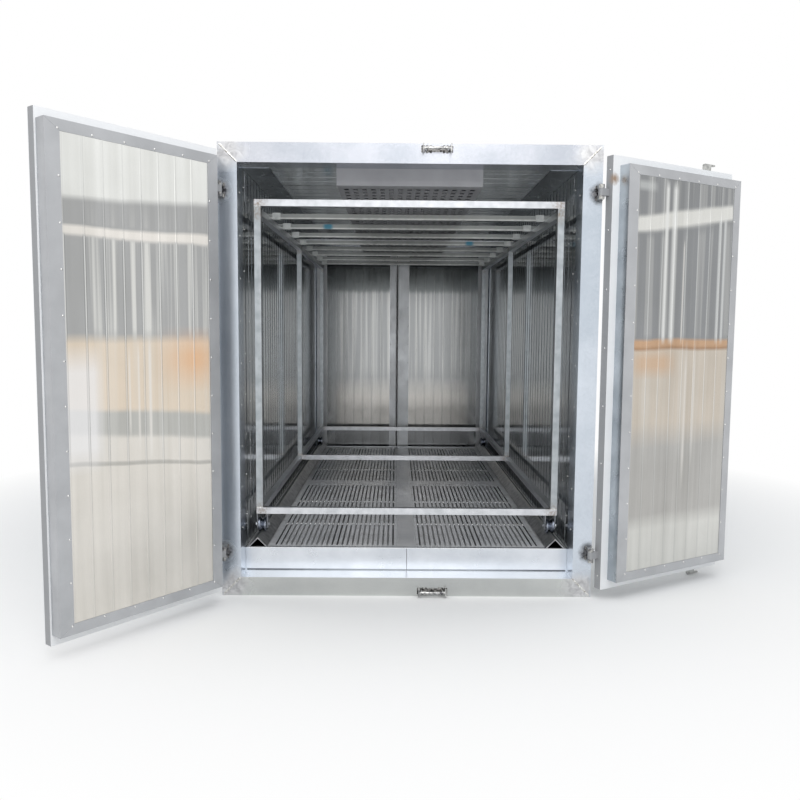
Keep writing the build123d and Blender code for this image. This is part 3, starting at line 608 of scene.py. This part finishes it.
# Air floor plates: sheet steel pierced with long louvre slots side by side, in groups between plain bridges.
# Hot air leaves through the slots; a pressed pip stands on each bridge. Feet and dust have dulled the zinc.
slot_pitch = 0.024
slot_width = 0.0088
floor_top = 0.190
plate_sheet = 0.003
floor_end = 1.5615
plate_inner, plate_outer = 0.0455, 0.6495
first_slot = 0.060
slot_groups = ((-1.539, -1.144), (-1.120, -0.614), (-0.590, -0.114),
               (0.043, 0.443), (0.467, 0.973), (0.997, 1.473))
floor_zinc = folded_zinc("walked_on_floor_sheet", "#e6e7ea", "#fbfbfd", 0.30, 0.45, 0.0003, "#b4b1ae", 0.42)
# The bearers under the plates are painted dark grey: painted shade under the floor.
bearer_shade_steel, tree, shader, coords = new_finish("shaded_bearer_steel", 0.4, 0.6)
bearer_mottle_mm = 40
soot_and_shade = add_node(tree, "TexNoise", {"Vector": coords, "Scale": 1000 / bearer_mottle_mm, "Detail": 4})
soot_and_shade = add_node(tree, "Mix", {"Factor": soot_and_shade, "A": "#434446", "B": "#626365"}, data_type="RGBA")
tree.links.new(soot_and_shade.outputs[2], shader.inputs["Base Color"])
coat(bearer_shade_steel, "floor_bearers")
slot_count = int((plate_outer - first_slot) / slot_pitch)
for side_name, side in (("left", -1), ("right", 1)):
    starts = first_slot + slot_pitch * np.arange(slot_count)
    slot_sides = np.column_stack([starts, starts + slot_width]).ravel()
    x_lines = np.concatenate([[plate_inner], slot_sides, [plate_outer]])
    y_lines = np.concatenate([[-floor_end], np.array(slot_groups).ravel(), [floor_end]])
    holes = np.zeros((len(x_lines) - 1, len(y_lines) - 1), bool)
    holes[1::2, 1::2] = True
    holes[-1, :] = False
    x_lines = x_lines * side
    if side < 0:
        x_lines, holes = x_lines[::-1], holes[::-1]
    plate = mesh_piece(f"{side_name}_slotted_floor_plate",
                       *pierced_sheet(x_lines, y_lines, holes, floor_top - plate_sheet, floor_top),
                       floor_zinc, "cabinet")
    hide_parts("floor_plates")


def domes(name, centres, outs, radius, height, material, body, sides=8):
    """Many small round heads in one mesh: rings of a shallow cap about each centre, facing outwards."""
    centres, outs = np.asarray(centres, float), np.asarray(outs, float)
    spare = np.where(np.abs(outs[:, 2:3]) > 0.9, [[1.0, 0, 0]], [[0, 0, 1.0]])
    first = np.cross(spare, outs)
    first /= np.linalg.norm(first, axis=1, keepdims=True)
    second = np.cross(outs, first)
    angle = np.linspace(0, 2 * math.pi, sides, endpoint=False)
    rings = np.array([(1.0, -0.05), (0.93, 0.5), (0.6, 0.88)])
    flat = np.concatenate([np.column_stack([r * np.cos(angle), r * np.sin(angle), np.full(sides, h)])
                           for r, h in rings] + [[(0, 0, 1.0)]]) * (radius, radius, height)
    points = (centres[:, None] + first[:, None] * flat[None, :, :1] + second[:, None] * flat[None, :, 1:2]
              + outs[:, None] * flat[None, :, 2:])
    step = np.arange(sides)
    after = (step + 1) % sides
    quads = np.concatenate([np.stack([step, after, after + sides, step + sides], -1) + ring * sides
                            for ring in range(len(rings) - 1)])
    tips = np.stack([step + 2 * sides, after + 2 * sides, np.full(sides, 3 * sides)], -1)
    shift = len(flat) * np.arange(len(centres))[:, None, None]
    faces = (quads[None] + shift).reshape(-1, 4).tolist() + (tips[None] + shift).reshape(-1, 3).tolist()
    return mesh_piece(name, points.reshape(-1, 3), faces, material, body, True)


# Real turning marks are about a tenth of a millimetre apart, so they are drawn coarser to show at all.
plating_mm, turning_mm = 20, 2
bright_zinc, tree, shader, coords = new_finish("bright_zinc_plating", 1.0, 0.22)
cloud = add_node(tree, "TexNoise", {"Vector": coords, "Scale": 1000 / plating_mm, "Detail": 3})
metal = add_node(tree, "Mix", {"Factor": cloud, "A": "#c4c4c2", "B": "#f0f0ee"}, data_type="RGBA")
tree.links.new(metal.outputs[2], shader.inputs["Base Color"])
turned = add_node(tree, "TexNoise", {"Vector": coords, "Scale": 1000 / turning_mm, "Detail": 2})
turned = add_node(tree, "Bump", {"Height": turned, "Distance": 0.00003})
tree.links.new(turned.outputs["Normal"], shader.inputs["Normal"])
wheel_steel, tree, shader, coords = new_finish("plated_wheel_steel", 1.0, 0.27)
cloud = add_node(tree, "TexNoise", {"Vector": coords, "Scale": 1000 / plating_mm, "Detail": 3})
metal = add_node(tree, "Mix", {"Factor": cloud, "A": "#70757f", "B": "#b4bac6"}, data_type="RGBA")
tree.links.new(metal.outputs[2], shader.inputs["Base Color"])
bridge_rows = [(a[1] + b[0]) / 2 for a, b in zip(slot_groups, slot_groups[1:]) if b[0] - a[1] < 0.05]
pip_x = first_slot + slot_width / 2 + slot_pitch * np.arange(slot_count)
pips = [(side * x, y, floor_top) for y in bridge_rows for x in pip_x for side in (-1, 1)]
domes("bridge_pips", pips, [(0, 0, 1)] * len(pips), 0.0055, 0.0035, bright_zinc, "cabinet", 6)


# Floor strips: plain galvanised sheet, screwed to the bearers and clouded with grease. The two side strips
# under the rails are painted darker as shade, and the centre strip keeps the lighter tone.
# The hollow under each rail is painted black as shade.
grease_mm, rail_x, hollow_half = 160, 0.695, 0.037
strips, tree, shader, coords = new_finish("greasy_and_shaded_floor_strip", 0.6, 0.38)
place = add_node(tree, "SeparateXYZ", {0: add_node(tree, "VectorMath", {0: coords}, operation="ABSOLUTE")})
cloud = add_node(tree, "TexNoise", {"Vector": coords, "Scale": 1000 / grease_mm, "Detail": 5})
share = add_node(tree, "MapRange", {"Value": cloud, "From Min": 0.35, "From Max": 0.65})
middle_tone = add_node(tree, "Mix", {"Factor": share, "A": "#eeeff1", "B": "#fbfbfc"}, data_type="RGBA")
shaded_side_tone = add_node(tree, "Mix", {"Factor": share, "A": "#d0d1d2", "B": "#eeeeef"}, data_type="RGBA")
# Painted shade: the side strips darker than the centre strip.
outer = add_node(tree, "MapRange", {"Value": place.outputs["X"], "From Min": 0.1, "From Max": 0.2})
base = add_node(tree, "Mix", {"Factor": outer, "A": middle_tone, "B": shaded_side_tone}, data_type="RGBA")
rail_off = add_node(tree, "Math", {0: place.outputs["X"], 1: rail_x}, operation="SUBTRACT")
rail_off = add_node(tree, "Math", {0: rail_off}, operation="ABSOLUTE")
# Painted shade: black in the hollow under each rail.
hollow_shade = add_node(tree, "Math", {0: rail_off, 1: hollow_half}, operation="LESS_THAN")
base = add_node(tree, "Mix", {"Factor": hollow_shade, "A": base, "B": "#1c1c1d"}, data_type="RGBA")
tree.links.new(base.outputs[2], shader.inputs["Base Color"])
slow = add_node(tree, "Bump", {"Height": cloud, "Distance": 0.0004})
tree.links.new(slow.outputs["Normal"], shader.inputs["Normal"])
coat(strips, "floor_strips")


# Rails: bare hot-rolled angle, set corner up. The mill scale is dark, the wheels have rolled the corner
# bright, and the underside is painted black as shade.
rail_rust_mm, rail_pit_mm = 30, 4
rail_steel, tree, shader, coords = new_finish("hot_rolled_rail_steel", 1.0, 0.45)
level = add_node(tree, "SeparateXYZ", {0: coords}).outputs["Z"]
rolled = add_node(tree, "MapRange", {"Value": level, "From Min": 0.224, "From Max": 0.235, "To Max": 0.9})
rust = add_node(tree, "TexNoise", {"Vector": coords, "Scale": 1000 / rail_rust_mm, "Detail": 5})
rust = add_node(tree, "MapRange", {"Value": rust, "From Min": 0.35, "From Max": 0.65})
scale = add_node(tree, "Mix", {"Factor": rust, "A": "#8b8c8f", "B": "#b3b4b6"}, data_type="RGBA")
scale = add_node(tree, "Mix", {"Factor": rolled, "A": scale, "B": "#b9bab8"}, data_type="RGBA")
# Painted shade: faces turned downward are black.
facing = add_node(tree, "SeparateXYZ", {0: tree.nodes.new("ShaderNodeNewGeometry").outputs["True Normal"]})
hollow_shade = add_node(tree, "Math", {0: facing.outputs["Z"], 1: -0.3}, operation="LESS_THAN")
scale = add_node(tree, "Mix", {"Factor": hollow_shade, "A": scale, "B": "#19191a"}, data_type="RGBA")
tree.links.new(scale.outputs[2], shader.inputs["Base Color"])
pits = add_node(tree, "TexNoise", {"Vector": coords, "Scale": 1000 / rail_pit_mm, "Detail": 3})
pits = add_node(tree, "Bump", {"Height": pits, "Distance": 0.00008})
tree.links.new(pits.outputs["Normal"], shader.inputs["Normal"])
coat(rail_steel, "rails")


# Trolley: galvanised square tube, cut square and butt welded into two side frames with cross bars.
# The zinc is soft and matt, browned and smoked at each weld.
tube_cloud_mm, burn_mm, zinc_grain_mm = 38, 9, 3


def tube_finish(name, low, high):
    """Galvanised tube: clouds of two greys a few centimetres long, browned and blackened by the welds."""
    material, tree, shader, coords = new_finish(name, 1.0, 0.36)
    cloud = add_node(tree, "TexNoise", {"Vector": coords, "Scale": 1000 / tube_cloud_mm, "Detail": 4})
    share = add_node(tree, "MapRange", {"Value": cloud, "From Min": 0.33, "From Max": 0.67})
    base = add_node(tree, "Mix", {"Factor": share, "A": low, "B": high}, data_type="RGBA")
    knots = near(tree, coords, [(0.690, y, z) for y in (1.535, 0.0) for z in (0.355, 1.773, 1.733)],
                 0.012, 0.055, 0.012, 16)
    burn = add_node(tree, "TexNoise", {"Vector": coords, "Scale": 1000 / burn_mm, "Detail": 4})
    burn = add_node(tree, "MapRange", {"Value": burn, "From Min": 0.4, "From Max": 0.65, "To Min": 0.1,
                                       "To Max": 0.85})
    burn = add_node(tree, "Math", {0: burn, 1: knots}, operation="MULTIPLY")
    base = add_node(tree, "Mix", {"Factor": burn, "A": base, "B": "#83705c"}, data_type="RGBA")
    tree.links.new(base.outputs[2], shader.inputs["Base Color"])
    gloss = add_node(tree, "MapRange", {"Value": cloud, "From Min": 0.3, "From Max": 0.7, "To Min": 0.28,
                                        "To Max": 0.42})
    tree.links.new(gloss.outputs["Result"], shader.inputs["Roughness"])
    fine = add_node(tree, "TexNoise", {"Vector": coords, "Scale": 1000 / zinc_grain_mm, "Detail": 3})
    fine = add_node(tree, "Bump", {"Height": fine, "Distance": 0.00005})
    tree.links.new(fine.outputs["Normal"], shader.inputs["Normal"])
    return material, tree, base


tube_zinc, _, _ = tube_finish("galvanised_square_tube", "#c4c7cb", "#dadce0")
coat(tube_zinc, "trolley_cross_bars", "trolley_side_rails")
collar_zinc, _, _ = tube_finish("galvanised_bar_collar", "#a0a3a1", "#c8cac8")
coat(collar_zinc, "bar_collars")

# The posts take a darker copy of the tube finish: painted shade.
shaded_post_zinc, _, _ = tube_finish("shaded_galvanised_post_tube", "#9ea4a8", "#babfc2")
coat(shaded_post_zinc, "trolley_posts")


# Hanging bars: loose lengths of thinner tube, their upper half painted darker: a painted reflection of the
# dark ceiling. Two carry a dab of blue marking paint.
paint_dabs = ((-0.430, -0.835, 1.7605), (0.410, -0.095, 1.7605))
bar_zinc, tree, base = tube_finish("galvanised_hanging_tube", "#aeb0ae", "#d0d1cf")
shader = [node for node in tree.nodes if node.type == "BSDF_PRINCIPLED"][0]
coords = add_node(tree, "TexCoord").outputs["Object"]
level = add_node(tree, "SeparateXYZ", {0: coords}).outputs["Z"]
# Painted reflection of the dark ceiling: the upper half darker.
upper_half_reflection = add_node(tree, "MapRange", {"Value": level, "From Min": 1.752, "From Max": 1.757, "To Max": 0.8})
base = add_node(tree, "Mix", {"Factor": upper_half_reflection, "A": base.outputs[2], "B": "#747775"}, data_type="RGBA")
for dab in paint_dabs:
    gap = add_node(tree, "VectorMath", {0: coords, 1: dab}, operation="DISTANCE").outputs["Value"]
    dabbed = add_node(tree, "MapRange", {"Value": gap, "From Min": 0.020, "From Max": 0.034, "To Min": 0.85,
                                         "To Max": 0.0})
    base = add_node(tree, "Mix", {"Factor": dabbed, "A": base.outputs[2], "B": "#2f6f86"}, data_type="RGBA")
tree.links.new(base.outputs[2], shader.inputs["Base Color"])
coat(bar_zinc, "hanging_bars")


# Trolley welds: fillet runs round the foot and the head of each post, laid by hand in short ripples.
# They are left bare, so they show brighter than the zinc.
tube_half = 0.015
trolley_welds = []
for row in (-1.535, 0.0, 1.535):
    for side in (-1, 1):
        x = side * 0.690
        for level in (0.370, 1.758):
            for out in (-1, 1):
                trolley_welds.append(((x - tube_half, row + out * tube_half, level),
                                      (x + tube_half, row + out * tube_half, level), (0, out, 0), 6))
                trolley_welds.append(((x + out * tube_half, row - tube_half, level),
                                      (x + out * tube_half, row + tube_half, level), (out, 0, 0), 6))
beads("trolley_post_welds", trolley_welds, 0.006, 0.0018, weld_metal, "trolley")


# Wheels: turned from solid steel and zinc plated, with a vee groove that rides the rail's corner, a chamfer
# on each rim and a boss round the axle.
wheel_radius = 0.035
wheel_half = 0.019
groove = 0.011
axle_radius = 0.0061
boss_radius, dish_inner, dish_outer, rim_inner = 0.013, 0.015, 0.027, 0.029
dish_depth, chamfer = 0.003, 0.0015
left_half = [
    (-wheel_half, axle_radius), (-wheel_half, boss_radius), (-wheel_half + dish_depth, dish_inner),
    (-wheel_half + dish_depth, dish_outer), (-wheel_half, rim_inner), (-wheel_half, wheel_radius - chamfer),
    (-wheel_half + chamfer, wheel_radius), (-groove, wheel_radius),
]
right_half = [(-x, radius) for x, radius in left_half[::-1]]
wheel_section = np.array(left_half + [(0, wheel_radius - groove)] + right_half)


def turned_ring(section, centre, steps=48):
    """Section of (along x, radius) pairs swept round a level axle; the sweep and the section both close."""
    angle = np.linspace(0, 2 * math.pi, steps, endpoint=False)[:, None]
    x = np.broadcast_to(section[:, 0], (steps, len(section)))
    radius = section[:, 1]
    points = np.stack([x, np.cos(angle) * radius, np.sin(angle) * radius], -1) + np.array(centre)
    index = np.arange(steps * len(section)).reshape(steps, len(section))
    turn, along = np.roll(index, -1, 0), np.roll(index, -1, 1)
    return points.reshape(-1, 3), np.stack([index, along, np.roll(turn, -1, 1), turn], -1).reshape(-1, 4)


for joint in frame["joints"]:
    if joint["name"].endswith("_wheel_spin"):
        name = joint["child"]
        wheel = mesh_piece(f"turned_{name}", *turned_ring(wheel_section, joint["pos_m"]), wheel_steel, name)
        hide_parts(name)
coat(folded_zinc("zinc_plated_fork", "#8f9196", "#b9bcc0", 0.28, 0.42, 0.0001), "wheel_forks")


# Door leaves: a slab in white coated skins with its four edges capped in grey zinc channel, a stepped plug
# edged in folded zinc sheet, and a ribbed bright inner sheet held by mitred trim with a row of bright rivets.
slab_outer, slab_inner = -0.009, 0.031
slab_middle = (slab_inner + slab_outer) / 2
cap_lip = 0.0015
plug_face = 0.086
plug_low, plug_high = 0.091, 1.914
plug_hinge_edge, plug_seam_gap = 0.076, 0.010
end_trim = 0.040
lining_gap, rivet_inset = 0.0005, 0.008
rivet_radius, rivet_height = 0.0042, 0.0022
rivets_up, rivets_across = 12, 6
edge_rivet_inset, edge_rivet_low, edge_rivet_high, edge_rivets = 0.035, 0.11, 1.895, 8
rust_u, rust_z = 0.045, 1.855
rust_mm, dust_mm, peel_mm = 16, 300, 3
# Each leaf's side, end, seam off the middle, opening angle, and trim widths at the hinge and the seam.
leaf_sizes = {
    "front_left": (-1, -1, 0.0, 128, 0.050, 0.055),
    "front_right": (1, -1, 0.0, 210, 0.060, 0.045),
    "rear_left": (-1, 1, -0.045, 0, 0.088, 0.052),
    "rear_right": (1, 1, -0.045, 0, 0.088, 0.093),
}
plug_zinc = folded_zinc("folded_plug_edge", "#a3abb2", "#c4cbd1", 0.24, 0.36, 0.0003)
trim_zinc = folded_zinc("folded_door_trim", "#b3b5b8", "#c1c3c6", 0.34, 0.46, 0.0003)
# The rear leaves' trim is a darker copy of the front trim: painted shade deep in the oven.
shaded_rear_zinc = folded_zinc("shaded_folded_rear_trim", "#9fa1a3", "#b4b7ba", 0.3, 0.42, 0.0003)
# Looks of the inner sheets: painted reflections of the surroundings, in a few flat zones of light, grey and
# tan by height over two metres, pale painted streaks, and soft painted marks of reflection.
none, faint, dim, strong = "#000000", "#505050", "#808080", "#f0f0f0"
cream, ash, pale_grey, tan = "#e8e4dd", "#a8a8a4", "#c0c0bc", "#e8dac8"
cool_grey, ivory, off_white = "#b4b5b5", "#f4f0ea", "#f0f1ee"
soft_grey, stone_grey, sand, brown = "#d8d8d4", "#b8b7b4", "#cfc6ba", "#a8886e"
copper, slate, chalk = "#c9a789", "#949698", "#e4e4e0"
mid_grey, warm_grey, dark_grey = "#8a8c8d", "#b4b2ae", "#6c7071"
pale_line, white_streak, soft_streak = "#e6e3de", "#e4e5e3", "#dcdedd"
painted_sheet_reflections = {
    "front_left": {
        "tones": ((0.24, cream), (0.321, cream), (0.326, ash), (0.331, cream),
                  (0.374, cream), (0.384, pale_grey), (0.425, pale_grey), (0.435, tan), (0.570, tan),
                  (0.59, cool_grey), (0.765, cool_grey), (0.774, ivory), (0.786, ivory), (0.793, cool_grey),
                  (0.842, cool_grey), (0.856, off_white)),
        "low_lean": -0.108, "high_lean": 0.107,
        "streaks": ((0.32, none), (0.34, dim), (0.43, dim), (0.575, dim), (0.60, strong), (0.765, strong),
                    (0.772, none), (0.79, none), (0.80, dim), (0.842, faint), (0.856, none)),
        "marks": ((0.63, 0.78, 0.715, 1.09, 0.02, 0.05, "#ececed", 0.75),
                  (0.10, 0.30, 1.00, 1.155, 0.10, 0.06, "#e4b182", 0.7),
                  (0.502, 0.508, 0.80, 1.10, 0.004, 0.04, pale_line, 0.8),
                  (0.462, 0.469, 0.76, 1.13, 0.004, 0.04, pale_line, 0.8),
                  (0.411, 0.420, 0.72, 1.14, 0.005, 0.04, pale_line, 0.9)),
    },
    "front_right": {
        "tones": ((0.155, soft_grey), (0.19, stone_grey), (0.34, stone_grey), (0.40, sand), (0.560, sand),
                  (0.565, brown), (0.572, copper), (0.582, copper), (0.590, slate),
                  (0.815, slate), (0.824, chalk), (0.849, chalk), (0.857, slate)),
        "low_lean": 0.0, "high_lean": -0.165,
        "streaks": ((0.30, faint), (0.45, dim), (0.55, faint), (0.58, none), (0.60, dim), (0.80, dim),
                    (0.82, none), (0.86, dim)),
        "marks": ((0.309, 0.328, 1.165, 1.85, 0.006, 0.02, white_streak, 0.85),
                  (0.355, 0.382, 1.165, 1.85, 0.010, 0.02, white_streak, 0.8),
                  (0.434, 0.440, 1.165, 1.60, 0.004, 0.02, pale_line, 0.8),
                  (0.670, 0.684, 1.165, 1.73, 0.006, 0.02, soft_streak, 0.7),
                  (0.706, 0.722, 1.165, 1.73, 0.006, 0.02, soft_streak, 0.7),
                  (0.13, 0.24, 1.815, 1.85, 0.02, 0.01, "#c9cccb", 0.6),
                  (0.14, 0.38, 1.02, 1.11, 0.05, 0.03, "#d0a67c", 0.5),
                  (0.47, 0.484, 0.55, 1.10, 0.006, 0.08, pale_line, 0.6),
                  (0.53, 0.540, 0.65, 1.10, 0.006, 0.08, pale_line, 0.6)),
    },
    "rear_left": {
        "tones": ((0.18, mid_grey), (0.19, warm_grey), (0.31, warm_grey), (0.40, mid_grey), (0.76, mid_grey),
                  (0.775, dark_grey)),
        "low_lean": 0.0, "high_lean": 0.0,
        "streaks": ((0.18, none), (0.36, faint), (0.45, dim), (0.76, dim), (0.785, none)),
        "marks": ((0.10, 0.25, 0.30, 1.56, 0.03, 0.05, "#808486", 0.6),),
    },
}
painted_sheet_reflections["rear_right"] = painted_sheet_reflections["rear_left"]


def leaf_axes(leaf):
    """A leaf's hinge line, and its unit directions along it from the hinge and inward from its outer face."""
    side, end, _, opened, _, _ = leaf_sizes[leaf]
    turn = math.radians(-side * end * opened)
    hinge = np.array([side * axis_x, end * axis_y, 0])
    along = np.array([-side * math.cos(turn), -side * math.sin(turn), 0])
    return hinge, along, np.array([end * math.sin(turn), -end * math.cos(turn), 0])


for leaf, (side, end, seam, _, hinge_trim, seam_trim) in leaf_sizes.items():
    hinge, along, inward = leaf_axes(leaf)

    slab_skin, tree, shader, coords = new_finish(f"{leaf}_coated_slab", 0.0, 0.4)
    depth = add_node(tree, "VectorMath", {0: coords, 1: inward.tolist()}, operation="DOT_PRODUCT")
    middle = float(inward @ hinge) + slab_middle
    depth = add_node(tree, "Math", {0: depth, 1: middle}, operation="SUBTRACT")
    depth = add_node(tree, "Math", {0: depth}, operation="ABSOLUTE")
    half_core = (slab_inner - slab_outer) / 2 - cap_lip
    capped = add_node(tree, "Math", {0: depth, 1: half_core}, operation="LESS_THAN")
    dust = add_node(tree, "TexNoise", {"Vector": coords, "Scale": 1000 / dust_mm, "Detail": 4})
    white_skin = add_node(tree, "Mix", {"Factor": dust, "A": "#e6e8ea", "B": "#f6f6f6"}, data_type="RGBA")
    grey_cap = add_node(tree, "Mix", {"Factor": dust, "A": "#8f9092", "B": "#a6a7a9"}, data_type="RGBA")
    base = add_node(tree, "Mix", {"Factor": capped, "A": white_skin, "B": grey_cap}, data_type="RGBA")
    if leaf == "front_right":
        stained = np.abs(hinge + along * rust_u + inward * slab_inner + np.array([0, 0, rust_z]))
        rust = near(tree, coords, [tuple(stained)], 0.006, 0.030, 0.010, rust_mm)
        base = add_node(tree, "Mix", {"Factor": rust, "A": base, "B": "#a08873"}, data_type="RGBA")
    tree.links.new(base.outputs[2], shader.inputs["Base Color"])
    peel = add_node(tree, "TexNoise", {"Vector": coords, "Scale": 1000 / peel_mm, "Detail": 2})
    peel = add_node(tree, "Bump", {"Height": peel, "Distance": 0.00005})
    tree.links.new(peel.outputs["Normal"], shader.inputs["Normal"])
    coat(slab_skin, f"{leaf}_door_slab")
    coat(trim_zinc if leaf == "front_left" else plug_zinc, f"{leaf}_door_plug")
    coat(shaded_rear_zinc if end > 0 else trim_zinc, f"{leaf}_door_trim")

    start = plug_hinge_edge + hinge_trim + lining_gap
    stop = axis_x - side * seam - plug_seam_gap - seam_trim - lining_gap
    hinge_line = float(along @ hinge)
    ribs = int((stop - start - rib_width) // wall_rib_pitch)
    first_rib = (start + stop - (ribs - 1) * wall_rib_pitch) / 2 + hinge_line
    coat(ribbed_zinc(f"{leaf}_bright_inner_sheet", along.tolist(), first_rib, wall_rib_pitch, "Z",
                     "#ebebea", "#ffffff", "#f4f4f1", 0.6, 0.12, 0.22, hinge_line, painted_sheet_reflections[leaf]),
         f"{leaf}_door_lining")

    u_low, u_high = start - rivet_inset, stop + rivet_inset
    z_low, z_high = plug_low + end_trim - rivet_inset, plug_high - end_trim + rivet_inset
    reaches = np.linspace(u_low, u_high, rivets_across)[1:-1]
    spots = [(u, z) for z in np.linspace(z_low, z_high, rivets_up) for u in (u_low, u_high)]
    spots += [(u, z) for u in reaches for z in (z_low, z_high)]
    centres = [hinge + along * u + inward * plug_face + np.array([0, 0, z]) for u, z in spots]
    domes(f"{leaf}_trim_rivets", centres, [inward] * len(centres), rivet_radius, rivet_height, bright_zinc,
          f"{leaf}_door")
    u_slab = axis_x - half_opening - edge_rivet_inset
    centres = [hinge + along * u_slab + inward * slab_middle + np.array([0, 0, z])
               for z in np.linspace(edge_rivet_low, edge_rivet_high, edge_rivets)]
    domes(f"{leaf}_edge_rivets", centres, [-along] * len(centres), rivet_radius, rivet_height, bright_zinc,
          f"{leaf}_door")


# Seam seals: a black silicone strip glued down the seam edge of each right leaf, almost as thick as the gap
# that it fills between the two slabs. Its black also stands in for the shade in the seam gap: painted shade.
# Moulded smooth, with a soft sheen.
seal_thickness, seal_depth = 0.0076, 0.020
seal_low, seal_high = 0.060, 1.945
seam_gap_half = 0.004
bloom_mm, seal_grain_mm = 25, 3
silicone, tree, shader, coords = new_finish("black_silicone_seal_and_gap_shade", 0.0, 0.5)
bloom = add_node(tree, "TexNoise", {"Vector": coords, "Scale": 1000 / bloom_mm, "Detail": 4})
rubber = add_node(tree, "Mix", {"Factor": bloom, "A": "#1b1b1c", "B": "#333335"}, data_type="RGBA")
tree.links.new(rubber.outputs[2], shader.inputs["Base Color"])
skin = add_node(tree, "TexNoise", {"Vector": coords, "Scale": 1000 / seal_grain_mm, "Detail": 2})
skin = add_node(tree, "Bump", {"Height": skin, "Distance": 0.00004})
tree.links.new(skin.outputs["Normal"], shader.inputs["Normal"])
for leaf in ("front_right", "rear_right"):
    hinge, along, inward = leaf_axes(leaf)
    side, _, seam, _, _, _ = leaf_sizes[leaf]
    slab_edge = axis_x - side * seam - seam_gap_half
    depth = (slab_middle - seal_depth / 2, slab_middle + seal_depth / 2)
    points, faces = boxes([[(slab_edge, slab_edge + seal_thickness), depth, (seal_low, seal_high)]])
    turned_points = points @ np.array([along, inward, (0, 0, 1)]) + hinge
    faces = faces if np.cross(along, inward)[2] > 0 else faces[:, ::-1]
    mesh_piece(f"{leaf}_seam_seal", turned_points, faces, silicone, f"{leaf}_door")


# Frame leg rivets: bright blind rivets in three rows, the middle row staggered. They hold the lining and
# the frame's leg to the wall panels.
rivet_rows = (0.055, 0.152, 0.259)
rivet_levels = np.linspace(0.30, 1.80, 9)
row_stagger = 0.04
leg_rivet_radius, leg_rivet_height = 0.0045, 0.0024
spots, outs = [], []
for end in (-1, 1):
    for side in (-1, 1):
        for number, row in enumerate(rivet_rows):
            for level in rivet_levels + row_stagger * (number % 2):
                spots.append((side * half_opening, end * (frame_face - row), level))
                outs.append((-side, 0, 0))
domes("frame_leg_rivets", spots, outs, leg_rivet_radius, leg_rivet_height, bright_zinc, "cabinet")


# Hinges, keepers and lock rods: zinc-plated steel. Welding has scorched the hinges and keepers dark, and the
# rods, their guides and claws keep a plain dull plating.
scorch_mm, plating_grain_mm = 14, 3
for name, low, high, covered in (
    ("scorched_zinc_plating", "#77767a", "#cfcfca", ("hinge_lugs",)),
    ("smoked_keeper_steel", "#5c5c60", "#d6d6d4", ("lock_keepers",)),
    ("dull_zinc_plating", "#a3a4a3", "#cbccc9", ("front_lock_rod", "rear_lock_rod", "front_rod_guides",
                                                  "rear_rod_guides", "front_rod_claws", "rear_rod_claws")),
):
    plating, tree, shader, coords = new_finish(name, 1.0, 0.36)
    grime = add_node(tree, "TexNoise", {"Vector": coords, "Scale": 1000 / scorch_mm, "Detail": 4})
    grime = add_node(tree, "MapRange", {"Value": grime, "From Min": 0.35, "From Max": 0.65})
    metal = add_node(tree, "Mix", {"Factor": grime, "A": low, "B": high}, data_type="RGBA")
    tree.links.new(metal.outputs[2], shader.inputs["Base Color"])
    gloss = add_node(tree, "MapRange", {"Value": grime, "To Min": 0.5, "To Max": 0.28})
    tree.links.new(gloss.outputs["Result"], shader.inputs["Roughness"])
    pits = add_node(tree, "TexNoise", {"Vector": coords, "Scale": 1000 / plating_grain_mm, "Detail": 3})
    pits = add_node(tree, "Bump", {"Height": pits, "Distance": 0.00012})
    tree.links.new(pits.outputs["Normal"], shader.inputs["Normal"])
    coat(plating, *covered)


# Keeper backs: a small plate behind each keeper bar, tacked on with lumps of weld, and weld runs down both
# sides of the two cheeks. The heat has smoked all of it.
keeper_spots = [(0.115, -1), (0.070, 1)]
keeper_levels = (0.0235, 1.9815)
cheek_reach, cheek_half, cheek_weld_half = 0.060, 0.003, 0.0155
back_half_width, back_half_height, back_thickness = 0.045, 0.012, 0.0035
lump_radius, lump_height = 0.0065, 0.004
lump_offsets, lump_rises = (-0.043, -0.028, 0.030, 0.044), (-0.011, 0.010)
plates, lumps, lump_ways, cheek_welds = [], [], [], []
for x, end in keeper_spots:
    for level in keeper_levels:
        depth = sorted((end * (frame_face + 0.0002), end * (frame_face + back_thickness)))
        plates.append(((x - back_half_width, x + back_half_width), depth,
                       (level - back_half_height, level + back_half_height)))
        for dx in lump_offsets:
            for dz in lump_rises:
                lumps.append((x + dx, end * (frame_face + back_thickness - 0.0005), level + dz))
                lump_ways.append((0, end, 0))
        for side in (-1, 1):
            for edge in (-1, 1):
                at = x + side * cheek_reach + edge * (cheek_half + 0.002)
                y = end * (frame_face + 0.0005)
                cheek_welds.append(((at, y, level - cheek_weld_half), (at, y, level + cheek_weld_half),
                                    (0, end, 0), 4))
mesh_piece("keeper_back_plates", *boxes(plates), dark_weld, "cabinet")
domes("keeper_weld_lumps", lumps, lump_ways, lump_radius, lump_height, dark_weld, "cabinet")
beads("keeper_cheek_welds", cheek_welds, rough_weld_width, rough_weld_height, dark_weld, "cabinet")
